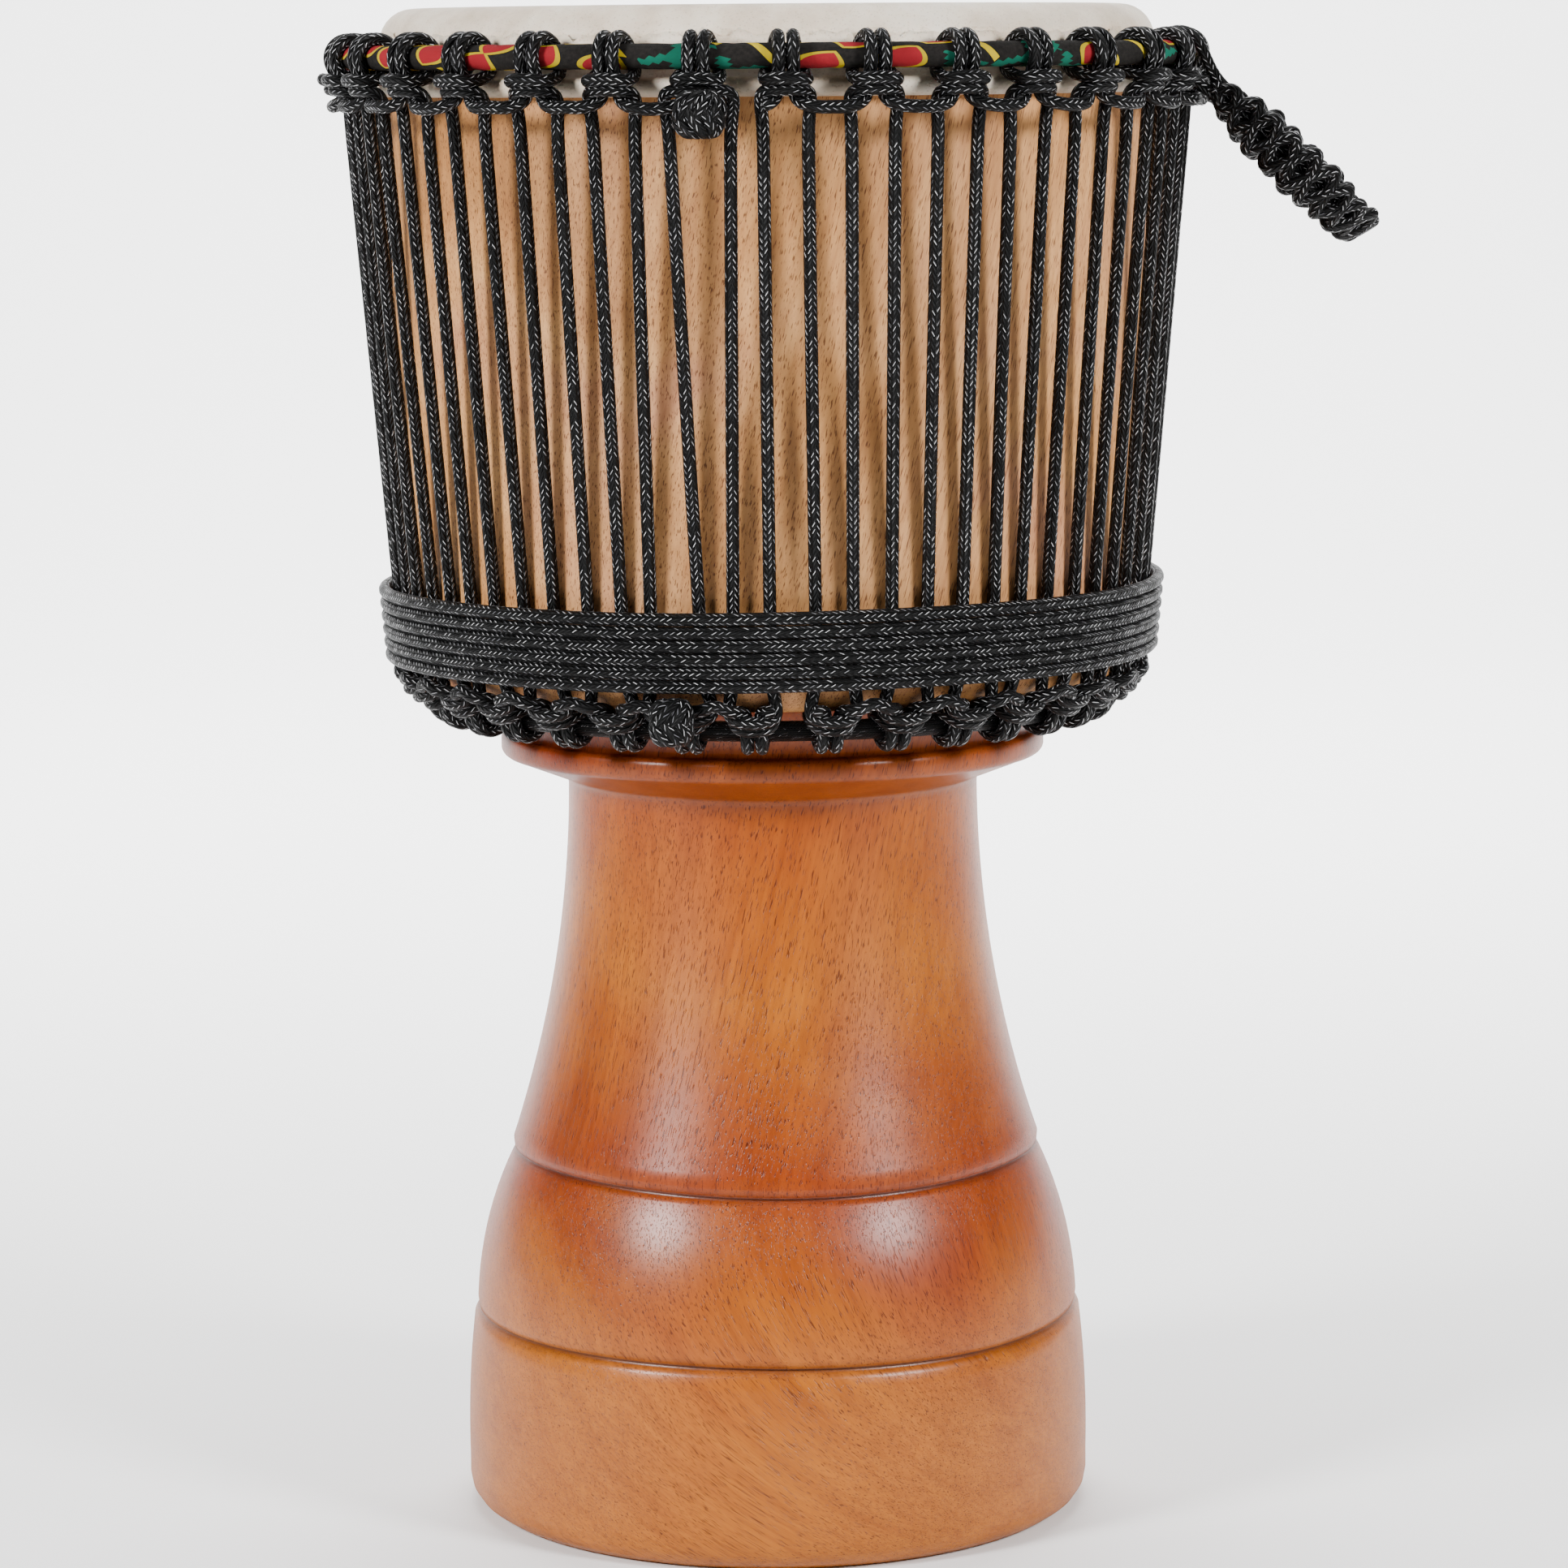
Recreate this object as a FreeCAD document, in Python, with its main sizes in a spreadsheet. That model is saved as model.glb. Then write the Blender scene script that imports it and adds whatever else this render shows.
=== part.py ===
import FreeCAD, Part
import math
import os
import Sketcher
from FreeCAD import Vector

# Rope-tuned djembe. Millimetres, +Z up, origin on the drum's axis at the foot.
# The front of the drum faces -Y. Azimuths are degrees from the front towards +X.

DRIVING_SIZES = {
    # overall
    "total_height": 600.0,
    "bowl_radius": 151.0,
    "foot_radius": 125.3,
    # goblet shell
    "bowl_wall": 18.0,
    "edge_round": 8.0,
    "bowl_taper": 5.6,
    "bowl_bottom_height": 336.8,
    "bowl_curve_height": 36.0,
    "bowl_edge_height": 12.5,
    "bowl_edge_step": 2.4,
    "underside_inset": 15.5,
    "underside_rise": 2.4,
    "neck_flare": 10.5,
    "collar_radius": 108.5,
    "collar_top": 315.0,
    "collar_thickness": 10.0,
    "waist_radius": 81.8,
    "throat_radius": 58.0,
    "groove_upper_height": 145.5,
    "groove_lower_height": 81.0,
    "groove_upper_radius": 105.0,
    "groove_lower_radius": 120.2,
    "foot_wall": 24.0,
    "foot_round": 12.0,
    # head
    "skin_thickness": 1.1,
    "hoop_radius": 2.5,
    "hoop_drop": 30.2,
    "trim_drop": 12.5,
    # rings
    "crown_steel_radius": 4.0,
    "cloth_thickness": 0.75,
    "crown_drop": 19.0,
    "bottom_steel_radius": 3.0,
    "sleeve_thickness": 0.95,
    # rope work
    "rope_diameter": 5.0,
    "rope_gap": 0.1,
    "run_slack": 0.8,
    "loop_count": 32,
    "first_hitch_azimuth": 2.5,
    "rope_drift": 0.8,
    "reserve_turn_count": 6,
    "reserve_slack": 0.9,
    "reserve_flare": 0.45,
    "knot_radius": 9.5,
    # carrying handle
    "handle_reach": 70.0,
    "handle_core_diameter": 5.0,
    "handle_cord_diameter": 4.6,
    "handle_ring_clearance": 0.7,
}

WINDING_STEPS = 32
TOP_KNOT_HITCH = 31
BOTTOM_KNOT_HITCH = 30
ROPE_END_HITCH = 15
HANDLE_FIRST_GAP = 6
HANDLE_GAPS_APART = 2
KNOT_SPREAD = 1.4
BOTTOM_TILT = math.radians(28.0)
HANDLE_DROOP = math.radians(44.0)
OCTAGON = 1.0 / math.cos(math.radians(22.5))

doc = FreeCAD.newDocument("Djembe")
sheet = doc.addObject("Spreadsheet::Sheet", "Sizes")
for row, (alias, size) in enumerate(DRIVING_SIZES.items(), start=1):
    sheet.set("A%d" % row, alias)
    sheet.set("B%d" % row, str(size))
    sheet.setAlias("B%d" % row, alias)
doc.recompute()

PARTS = []


def size(alias):
    """A driving dimension, as the sheet holds it."""
    return float(sheet.get(alias))


# ---------------------------------------------------------------- turned pieces

def turned_body(name, corners, bores=()):
    """A body turned about the drum's axis from one closed outline in the XZ plane,
    less any ring-shaped bores inside it."""
    body = doc.addObject("PartDesign::Body", name)
    body.Label = name
    body.Placement = FreeCAD.Placement()
    sketch = body.newObject("Sketcher::SketchObject", name + "_outline")
    for plane in body.Origin.OriginFeatures:
        if plane.Role == "XZ_Plane":
            sketch.AttachmentSupport = [(plane, "")]
    sketch.MapMode = "FlatFace"
    add_outline(sketch, corners)
    for bore in bores:
        add_bore(sketch, *bore)
    turn = body.newObject("PartDesign::Revolution", name + "_turned")
    turn.Profile = sketch
    turn.ReferenceAxis = (sketch, ["V_Axis"])
    turn.Angle = 360.0
    body.Tip = turn
    PARTS.append(body)
    return body


def arc_between(start, end, radius, bulge):
    """Arc from start to end; bulge +1 keeps its centre left of the way, -1 right."""
    chord = end - start
    middle = (start + end) * 0.5
    rise = math.sqrt(max(radius ** 2 - (chord.Length / 2) ** 2, 0.0))
    left = Vector(-chord.y, chord.x, 0) / chord.Length
    centre = middle + left * rise * bulge
    first, last = (start, end) if bulge > 0 else (end, start)
    circle = Part.Circle(centre, Vector(0, 0, 1), radius)
    return Part.ArcOfCircle(circle, circle.parameter(first), circle.parameter(last))


def add_outline(sketch, corners):
    """One closed outline. A corner is (x, z, edge): edge None is straight to the next
    corner, (radius, bulge) is an arc. Each text is an expression on the sheet."""
    places = [Vector(float(sheet.evalExpression(x)), float(sheet.evalExpression(z)), 0)
              for x, z, edge in corners]
    ends = []
    for index, (x, z, edge) in enumerate(corners):
        start = places[index]
        end = places[(index + 1) % len(corners)]
        if edge is None:
            item = sketch.addGeometry(Part.LineSegment(start, end), False)
            ends.append((item, 1, 2))
        else:
            radius, bulge = edge
            arc = arc_between(start, end, float(sheet.evalExpression(radius)), bulge)
            item = sketch.addGeometry(arc, False)
            ends.append((item, 1, 2) if bulge > 0 else (item, 2, 1))
            number = sketch.addConstraint(Sketcher.Constraint("Radius", item, arc.Radius))
            sketch.setExpression("Constraints[%d]" % number, radius)
    for index, (x, z, edge) in enumerate(corners):
        item, first, last = ends[index]
        next_item, next_first, next_last = ends[(index + 1) % len(corners)]
        sketch.addConstraint(Sketcher.Constraint("Coincident", item, last, next_item, next_first))
        hold_corner(sketch, item, first, "DistanceX", places[index].x, x, -2)
        hold_corner(sketch, item, first, "DistanceY", places[index].y, z, -1)


def add_bore(sketch, x, z, radius):
    """One round bore, its centre and radius given as expressions on the sheet."""
    centre = Vector(float(sheet.evalExpression(x)), float(sheet.evalExpression(z)), 0)
    bore_radius = float(sheet.evalExpression(radius))
    circle = Part.Circle(centre, Vector(0, 0, 1), bore_radius)
    item = sketch.addGeometry(circle, False)
    number = sketch.addConstraint(Sketcher.Constraint("Radius", item, bore_radius))
    sketch.setExpression("Constraints[%d]" % number, radius)
    hold_corner(sketch, item, 3, "DistanceX", centre.x, x, -2)
    hold_corner(sketch, item, 3, "DistanceY", centre.y, z, -1)


def hold_corner(sketch, item, vertex, kind, distance, expression, axis):
    """Tie a corner to its expression, or to the axis itself where the distance is zero."""
    if abs(distance) < 1e-9:
        sketch.addConstraint(Sketcher.Constraint("PointOnObject", item, vertex, axis))
        return
    number = sketch.addConstraint(Sketcher.Constraint(kind, -1, 1, item, vertex, distance))
    sketch.setExpression("Constraints[%d]" % number, expression)


CREST = "(Sizes.total_height - Sizes.skin_thickness - 0.2)"
BOWL_SIDE = "(Sizes.bowl_radius - Sizes.bowl_taper)"
BOWL_EDGE = "(Sizes.bowl_radius - Sizes.underside_inset)"
BOWL_BOTTOM = "Sizes.bowl_bottom_height"
UNDERSIDE = "(Sizes.bowl_bottom_height + Sizes.underside_rise)"
COLLAR_TOP = "Sizes.collar_top"
COLLAR_FOOT = "(Sizes.collar_top - Sizes.collar_thickness)"


def make_shell():
    """Goblet carved from one log: bowl, collar, waist, bell with two carved grooves."""
    outside = [
        ("Sizes.bowl_radius - Sizes.edge_round", CREST, ("Sizes.edge_round", -1)),
        ("Sizes.bowl_radius", CREST + " - Sizes.edge_round", None),
        (BOWL_SIDE, BOWL_BOTTOM + " + Sizes.bowl_curve_height", ("160", -1)),
        (BOWL_SIDE + " - Sizes.bowl_edge_step", BOWL_BOTTOM + " + Sizes.bowl_edge_height",
         ("15", -1)),
        (BOWL_EDGE, BOWL_BOTTOM, None),
        (BOWL_EDGE + " - 3", UNDERSIDE, None),
        ("Sizes.collar_radius + Sizes.neck_flare", UNDERSIDE, ("24", 1)),
        ("Sizes.collar_radius - 3.5", COLLAR_TOP + " + 2", None),
        ("Sizes.collar_radius - 3", COLLAR_TOP, ("3", -1)),
        ("Sizes.collar_radius", COLLAR_TOP + " - 3", None),
        ("Sizes.collar_radius", COLLAR_FOOT + " + 3", ("3.5", -1)),
        ("Sizes.collar_radius - 3", COLLAR_FOOT, None),
        ("Sizes.waist_radius + 3", COLLAR_FOOT + " - 8", ("4", 1)),
        ("Sizes.waist_radius", COLLAR_FOOT + " - 12", ("460", 1)),
        ("Sizes.groove_upper_radius + 0.8", "Sizes.groove_upper_height + 3", None),
        ("Sizes.groove_upper_radius", "Sizes.groove_upper_height", ("150", -1)),
        ("Sizes.groove_lower_radius + 1", "Sizes.groove_lower_height + 3", None),
        ("Sizes.groove_lower_radius", "Sizes.groove_lower_height", None),
        ("Sizes.groove_lower_radius + 1.8", "Sizes.groove_lower_height - 3.5", ("420", -1)),
        ("Sizes.foot_radius", "Sizes.foot_round + 8", None),
        ("Sizes.foot_radius", "Sizes.foot_round", ("Sizes.foot_round", -1)),
        ("Sizes.foot_radius - Sizes.foot_round", "0", None),
    ]
    inside = [
        ("Sizes.foot_radius - Sizes.foot_wall + 2", "0", None),
        ("Sizes.foot_radius - Sizes.foot_wall", "3", ("900", -1)),
        ("Sizes.throat_radius", COLLAR_FOOT + " - 60", None),
        ("Sizes.throat_radius", COLLAR_FOOT, ("60", -1)),
        ("Sizes.throat_radius + 34", BOWL_BOTTOM + " + 8", ("90", 1)),
        (BOWL_SIDE + " - Sizes.bowl_wall", BOWL_BOTTOM + " + 80", None),
        ("Sizes.bowl_radius - Sizes.bowl_wall", CREST + " - 12", None),
    ]
    return turned_body("shell", outside + inside)


def make_drum_head():
    """Goat skin: flat over the bearing edge, down the side, round the flesh hoop and
    back up outside itself to the trimmed edge."""
    inner = "(Sizes.bowl_radius + Sizes.rope_gap)"
    single = "(Sizes.bowl_radius + Sizes.rope_gap + Sizes.skin_thickness)"
    double = "(Sizes.bowl_radius + Sizes.rope_gap + 2 * Sizes.skin_thickness + 0.1)"
    under = "(Sizes.total_height - Sizes.skin_thickness)"
    roll = "(Sizes.hoop_radius + Sizes.skin_thickness + Sizes.rope_gap)"
    hoop_z = "(Sizes.total_height - Sizes.hoop_drop)"
    offset = "(%s - (%s + %s))" % (double, inner, roll)
    meet = "(%s + sqrt(%s ^ 2 - %s ^ 2))" % (hoop_z, roll, offset)
    flat = "(Sizes.bowl_radius - Sizes.edge_round)"
    shoulder = "(%s - Sizes.edge_round)" % under
    skin = [
        ("0", under, None),
        (flat, under, ("Sizes.edge_round + Sizes.rope_gap", -1)),
        (inner, shoulder, None),
        (inner, hoop_z, (roll, 1)),
        ("%s + %s" % (inner, roll), hoop_z + " - " + roll, (roll, 1)),
        ("%s + 2 * %s" % (inner, roll), hoop_z, (roll, 1)),
        (double, meet, None),
        (double, "Sizes.total_height - Sizes.trim_drop", None),
        (single, "Sizes.total_height - Sizes.trim_drop", None),
        (single, shoulder, ("Sizes.edge_round + Sizes.rope_gap + Sizes.skin_thickness", 1)),
        (flat, "Sizes.total_height", None),
        ("0", "Sizes.total_height", None),
    ]
    seat = "(Sizes.hoop_radius + 0.05)"
    return turned_body("drum_head", skin, [("%s + %s" % (inner, roll), hoop_z, seat)])


# ---------------------------------------------------------------- rings

def add_torus(name, big, small, height):
    """A ring round the drum's axis, its sizes given as expressions on the sheet."""
    ring = doc.addObject("Part::Torus", name)
    ring.Label = name
    ring.setExpression("Radius1", big)
    ring.setExpression("Radius2", small)
    ring.setExpression("Placement.Base.z", height)
    return ring


def make_wrapped_ring(core_name, wrap_name, big, core, wrap, height):
    """Steel ring and the closed tube of cloth or braid that covers it."""
    PARTS.append(add_torus(core_name, big, core, height))
    outer = add_torus(wrap_name + "_outside", big, "%s + %s" % (core, wrap), height)
    inner = add_torus(wrap_name + "_inside", big, core + " + 0.03", height)
    cover = doc.addObject("Part::Cut", wrap_name)
    cover.Label = wrap_name
    cover.Base = outer
    cover.Tool = inner
    PARTS.append(cover)


CROWN_Z = "Sizes.total_height - Sizes.crown_drop"
CROWN_R = ("Sizes.bowl_radius + 2 * Sizes.skin_thickness + Sizes.rope_diameter"
           " + Sizes.crown_steel_radius + Sizes.cloth_thickness + 1.5")
BOTTOM_R = ("Sizes.bowl_radius - Sizes.underside_inset + 0.6 - Sizes.rope_diameter / 2"
            " - Sizes.bottom_steel_radius - Sizes.sleeve_thickness - Sizes.rope_gap * 3")
BOTTOM_Z = ("Sizes.bowl_bottom_height - 1.2 - Sizes.rope_diameter / 2"
            " - Sizes.bottom_steel_radius - Sizes.sleeve_thickness - Sizes.rope_gap * 3")


def make_rings():
    """Flesh hoop, crown ring in its cloth and bottom ring in its sleeve."""
    hoop_r = ("Sizes.bowl_radius + 2 * Sizes.rope_gap + Sizes.skin_thickness"
              " + Sizes.hoop_radius")
    hoop_z = "Sizes.total_height - Sizes.hoop_drop"
    PARTS.append(add_torus("flesh_hoop", hoop_r, "Sizes.hoop_radius", hoop_z))
    make_wrapped_ring("crown_ring", "crown_ring_cloth", CROWN_R,
                      "Sizes.crown_steel_radius", "Sizes.cloth_thickness", CROWN_Z)
    make_wrapped_ring("bottom_ring", "bottom_ring_sleeve", BOTTOM_R,
                      "Sizes.bottom_steel_radius", "Sizes.sleeve_thickness", BOTTOM_Z)


# ---------------------------------------------------------------- rope work

def cord_wire(points):
    """Straight runs joined by tangent arcs, each arc as large as its two runs allow."""
    edges = []
    radii = []
    start = points[0]
    for before, corner, after in zip(points, points[1:], points[2:]):
        arrive = corner - before
        leave = after - corner
        cut = 0.45 * min(arrive.Length, leave.Length)
        arrive = arrive / arrive.Length
        leave = leave / leave.Length
        turn = arrive.getAngle(leave)
        radius = cut / math.tan(turn / 2)
        radii.append(radius)
        arc_start = corner - arrive * cut
        arc_end = corner + leave * cut
        inward = (leave - arrive) / (leave - arrive).Length
        reach = math.hypot(radius, cut) - radius
        edges.append(Part.LineSegment(start, arc_start).toShape())
        edges.append(Part.Arc(arc_start, corner + inward * reach, arc_end).toShape())
        start = arc_end
    edges.append(Part.LineSegment(start, points[-1]).toShape())
    return Part.Wire(edges), radii


def cord_solid(name, points, diameter):
    """Round cord along its route; prints its length, volume check and smallest radius."""
    wire, radii = cord_wire(points)
    way = points[1] - points[0]
    section = Part.Wire([Part.Circle(points[0], way, diameter / 2).toShape()])
    solid = wire.makePipeShell([section], True, False)
    expected = wire.Length * math.pi * diameter ** 2 / 4
    print("%-24s length %8.1f  volume/expected %.4f  smallest radius %.1f"
          % (name, wire.Length, solid.Volume / expected, min(radii)))
    return solid


def add_shape(name, shape):
    """A piece whose shape is worked out here, with its placement left at the origin."""
    piece = doc.addObject("Part::Feature", name)
    piece.Label = name
    piece.Shape = shape
    piece.Placement = FreeCAD.Placement()
    PARTS.append(piece)
    return piece


def at_azimuth(radius, azimuth, height):
    """Point from its radius, its azimuth in radians and its height."""
    return Vector(radius * math.sin(azimuth), -radius * math.cos(azimuth), height)


class Ring:
    """A ring with a cradle on it: along is the way round, out leaves the ring towards
    the player and away leads from the ring to the cradle's scallops."""

    def __init__(self, radius, height, thickness, out, away):
        self.radius = radius
        self.height = height
        self.wrap = (thickness + size("rope_diameter") / 2 + size("rope_gap")) * OCTAGON
        self.out = out
        self.away = away

    def point(self, azimuth, along, out, away):
        """Point beside the ring, at a true distance along from the azimuth."""
        radius = self.radius + out * self.out[0] + away * self.away[0]
        height = self.height + out * self.out[1] + away * self.away[1]
        return at_azimuth(radius, azimuth + along / radius, height)


def crown_ring():
    radius = float(sheet.evalExpression(CROWN_R))
    height = float(sheet.evalExpression(CROWN_Z))
    thickness = size("crown_steel_radius") + size("cloth_thickness")
    return Ring(radius, height, thickness, (1.0, 0.0), (0.0, -1.0))


def bottom_ring():
    radius = float(sheet.evalExpression(BOTTOM_R))
    height = float(sheet.evalExpression(BOTTOM_Z))
    thickness = size("bottom_steel_radius") + size("sleeve_thickness")
    out = (math.cos(BOTTOM_TILT), -math.sin(BOTTOM_TILT))
    away = (math.sin(BOTTOM_TILT), math.cos(BOTTOM_TILT))
    return Ring(radius, height, thickness, out, away)


def hitch_azimuth(index):
    """Azimuth of a hitch on the crown ring."""
    return math.radians(size("first_hitch_azimuth") + 360.0 / size("loop_count") * index)


def bottom_hitch_azimuth(index):
    """The bottom hitches stand half a space on, moved by the rope's drift."""
    half = 180.0 / size("loop_count")
    return hitch_azimuth(index) + math.radians(half + size("rope_drift"))


# Where a cradle cord leads from a hitch to its scallop, as (along, out, away) in rope
# diameters, away being counted from the hitch's wrap; the last place is the scallop's
# middle, half a space along.
TOP_SCALLOP = [(0.56, 0.36, 0.90), (0.86, 0.50, 1.75), (2.04, 1.28, 2.13),
               (None, 1.32, 2.13)]
BOTTOM_SCALLOP = [(0.54, 1.17, 0.62), (0.64, 1.52, 1.37), (1.16, 2.10, 1.80),
                  (1.76, 2.48, 2.08), (None, 2.26, 2.53)]
# The hitch's bar: the right end of its front and how far out it stands, likewise.
TOP_BAR_OUT = 0.44
BOTTOM_BAR_OUT = 0.64


def half_hitch(ring, bar_out, scallop):
    """Right half of a cow hitch as (along, out, away): bar, round the back of the ring,
    over the front, behind the bar and out to the scallop's shoulder."""
    rope = size("rope_diameter")
    wrap = ring.wrap
    slant = wrap * math.sqrt(0.5)
    lead = [(along * rope, out * rope, wrap + away * rope)
            for along, out, away in scallop[:-1]]
    return [
        (0.92 * rope, wrap + bar_out * rope, wrap + 0.04 * rope),
        (1.50 * rope, wrap - 0.14 * rope, wrap + 0.20 * rope),
        (1.58 * rope, 0.10 * rope, wrap + 0.02 * rope),
        (1.36 * rope, -slant, slant),
        (0.98 * rope, -wrap, 0.0),
        (0.70 * rope, -slant, -slant),
        (0.54 * rope, 0.0, -wrap),
        (0.54 * rope, slant, -slant),
        (0.54 * rope, wrap, 0.0),
        (0.54 * rope, slant, slant),
    ] + lead


def make_cradle(name, ring, azimuth_of, bar_out, scallop):
    """Cradle cord: one cow hitch and one scallop per loop, all round the ring."""
    rope = size("rope_diameter")
    count = int(size("loop_count"))
    half_pitch = math.pi / count
    right = half_hitch(ring, bar_out, scallop)
    middle_out, middle_away = scallop[-1][1] * rope, ring.wrap + scallop[-1][2] * rope
    left = [(-along, out, away) for along, out, away in reversed(right)]
    start = azimuth_of(0)
    points = [ring.point(start, *place) for place in left + right]
    ends = []
    for side in (-1, 1):
        middle = ring.point(start + side * half_pitch, 0.0, middle_out, middle_away)
        tangent = Vector(-middle.y, middle.x, 0) / math.hypot(middle.x, middle.y)
        reach = 0.45 * rope * side
        ends.append((middle, middle - tangent * reach))
    points = [ends[0][0], ends[0][1]] + points + [ends[1][1], ends[1][0]]
    unit = cord_solid(name, points, rope)
    copies = []
    for index in range(count):
        copy = unit.copy()
        copy.rotate(Vector(0, 0, 0), Vector(0, 0, 1), 360.0 / count * index)
        copies.append(copy)
    return add_shape(name, copies[0].multiFuse(copies[1:]).Solids[0])


def top_bight(ring, azimuth, spread):
    """Tension rope over one top hitch: up behind the scallop, across and down again."""
    rope = size("rope_diameter")
    reach = ring.wrap
    right = [
        (0.72 * rope, 1.52 * rope, reach + 0.82 * rope),
        (1.76 * rope * spread, 0.48 * rope, reach + 0.98 * rope),
        (1.84 * rope * spread, 0.0, reach + 1.90 * rope),
        (1.64 * rope * spread, -0.08 * rope, reach + 3.40 * rope),
    ]
    left = [(-along, out, away) for along, out, away in reversed(right)]
    return [ring.point(azimuth, *place) for place in left + right]


def bottom_bight(ring, azimuth, spread):
    """Tension rope under one bottom hitch, its legs lying on the bowl."""
    rope = size("rope_diameter")
    reach = ring.wrap
    low = at_bowl_side(azimuth, 1.40 * rope * spread)
    right = [
        (0.72 * rope, 2.37 * rope, reach + 0.96 * rope),
        (1.72 * rope * spread, 1.83 * rope, reach + 1.04 * rope),
        (1.80 * rope * spread, 1.50 * rope, reach + 1.91 * rope),
    ]
    left = [(-along, out, away) for along, out, away in reversed(right)]
    turns = [ring.point(azimuth, *place) for place in left + right]
    return [at_bowl_side(azimuth, -1.40 * rope * spread)] + turns + [low]


def run_radius():
    """Radius of the runs' middle where they leave the bowl's lower edge."""
    side = float(sheet.evalExpression(BOWL_SIDE)) - size("bowl_edge_step")
    return side + size("rope_diameter") / 2 + size("run_slack")


def at_bowl_side(azimuth, along):
    """Point of a run where it leaves the bowl's lower curve, under the reserve turns."""
    radius = run_radius()
    height = size("bowl_bottom_height") + size("bowl_edge_height")
    return at_azimuth(radius, azimuth + along / radius, height)


def rope_end(ring, side):
    """End of the tension rope inside its knot, on one side of the last hitch."""
    rope = size("rope_diameter")
    return ring.point(bottom_hitch_azimuth(ROPE_END_HITCH), 0.5 * rope * side,
                      ring.wrap + 1.9 * rope, ring.wrap + 1.6 * rope)


def tension_route():
    """The whole tension rope, from its knot at the back round to the same knot."""
    top = crown_ring()
    bottom = bottom_ring()
    count = int(size("loop_count"))
    first = bottom_bight(bottom, bottom_hitch_azimuth(ROPE_END_HITCH), 1.0)
    middle = len(first) // 2
    route = [rope_end(bottom, 1)] + first[middle:]
    for step in range(1, count + 1):
        index = ROPE_END_HITCH + step
        wide = KNOT_SPREAD if index % count == TOP_KNOT_HITCH else 1.0
        route += top_bight(top, hitch_azimuth(index), wide)
        wide = KNOT_SPREAD if index % count == BOTTOM_KNOT_HITCH else 1.0
        if step < count:
            route += bottom_bight(bottom, bottom_hitch_azimuth(index), wide)
    return route + first[:middle] + [rope_end(bottom, -1)]


def reserve_route():
    """Spare rope: it comes up out of the rope's knot and winds round the runs."""
    rope = size("rope_diameter")
    lift = (rope + size("rope_gap")) / WINDING_STEPS
    flare = size("reserve_flare") / WINDING_STEPS
    radius = run_radius() + rope + size("reserve_slack")
    start = bottom_hitch_azimuth(ROPE_END_HITCH)
    bottom = size("bowl_bottom_height") + 1.8 * rope
    step_turn = 2 * math.pi / WINDING_STEPS
    route = [at_azimuth(radius + 0.75 * rope, start, bottom - 1.6 * rope),
             at_azimuth(radius + 0.62 * rope, start + 0.6 * step_turn, bottom - 0.7 * rope)]
    for step in range(int(size("reserve_turn_count")) * WINDING_STEPS - 3):
        route.append(at_azimuth(radius + flare * step, start + (step + 1.6) * step_turn,
                                bottom + lift * step))
    return route


def make_reserve_turns():
    return add_shape("reserve_turns",
                     cord_solid("reserve_turns", reserve_route(), size("rope_diameter")))


def make_knot(name, centre, radius, squash):
    """Round knot of rope: three crossing turns drawn up on a core."""
    rope = size("rope_diameter")
    core = Part.makeSphere(radius - 0.2 * rope)
    turn_axes = [Vector(1, 0.3, 0.2), Vector(-0.2, 1, 0.35), Vector(0.25, -0.3, 1)]
    turns = [Part.makeTorus(radius - 0.45 * rope, 0.5 * rope, Vector(0, 0, 0), axis)
             for axis in turn_axes]
    knot = core.multiFuse(turns)
    settle = FreeCAD.Matrix()
    settle.scale(Vector(1.0, 1.0, squash))
    settle.move(centre)
    return add_shape(name, knot.transformGeometry(settle).Solids[0])


def make_knots():
    """End knots of the two cradle cords in front, and of the tension rope behind."""
    radius = size("knot_radius")
    rope = size("rope_diameter")
    top = crown_ring()
    bottom = bottom_ring()
    make_knot("top_cradle_knot",
              top.point(hitch_azimuth(TOP_KNOT_HITCH), 0.5 * rope,
                        top.wrap + radius - 0.6 * rope, top.wrap + 2.6 * rope), radius, 1.2)
    make_knot("bottom_cradle_knot",
              bottom.point(bottom_hitch_azimuth(BOTTOM_KNOT_HITCH), 0.0,
                           bottom.wrap + radius + 0.8 * rope, bottom.wrap + 2.2 * rope),
              radius, 0.95)
    make_knot("tension_rope_knot",
              bottom.point(bottom_hitch_azimuth(ROPE_END_HITCH), 0.0,
                           bottom.wrap + radius + 0.6 * rope, bottom.wrap + 2.2 * rope),
              0.9 * radius, 0.95)


# ---------------------------------------------------------------- carrying handle

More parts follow.
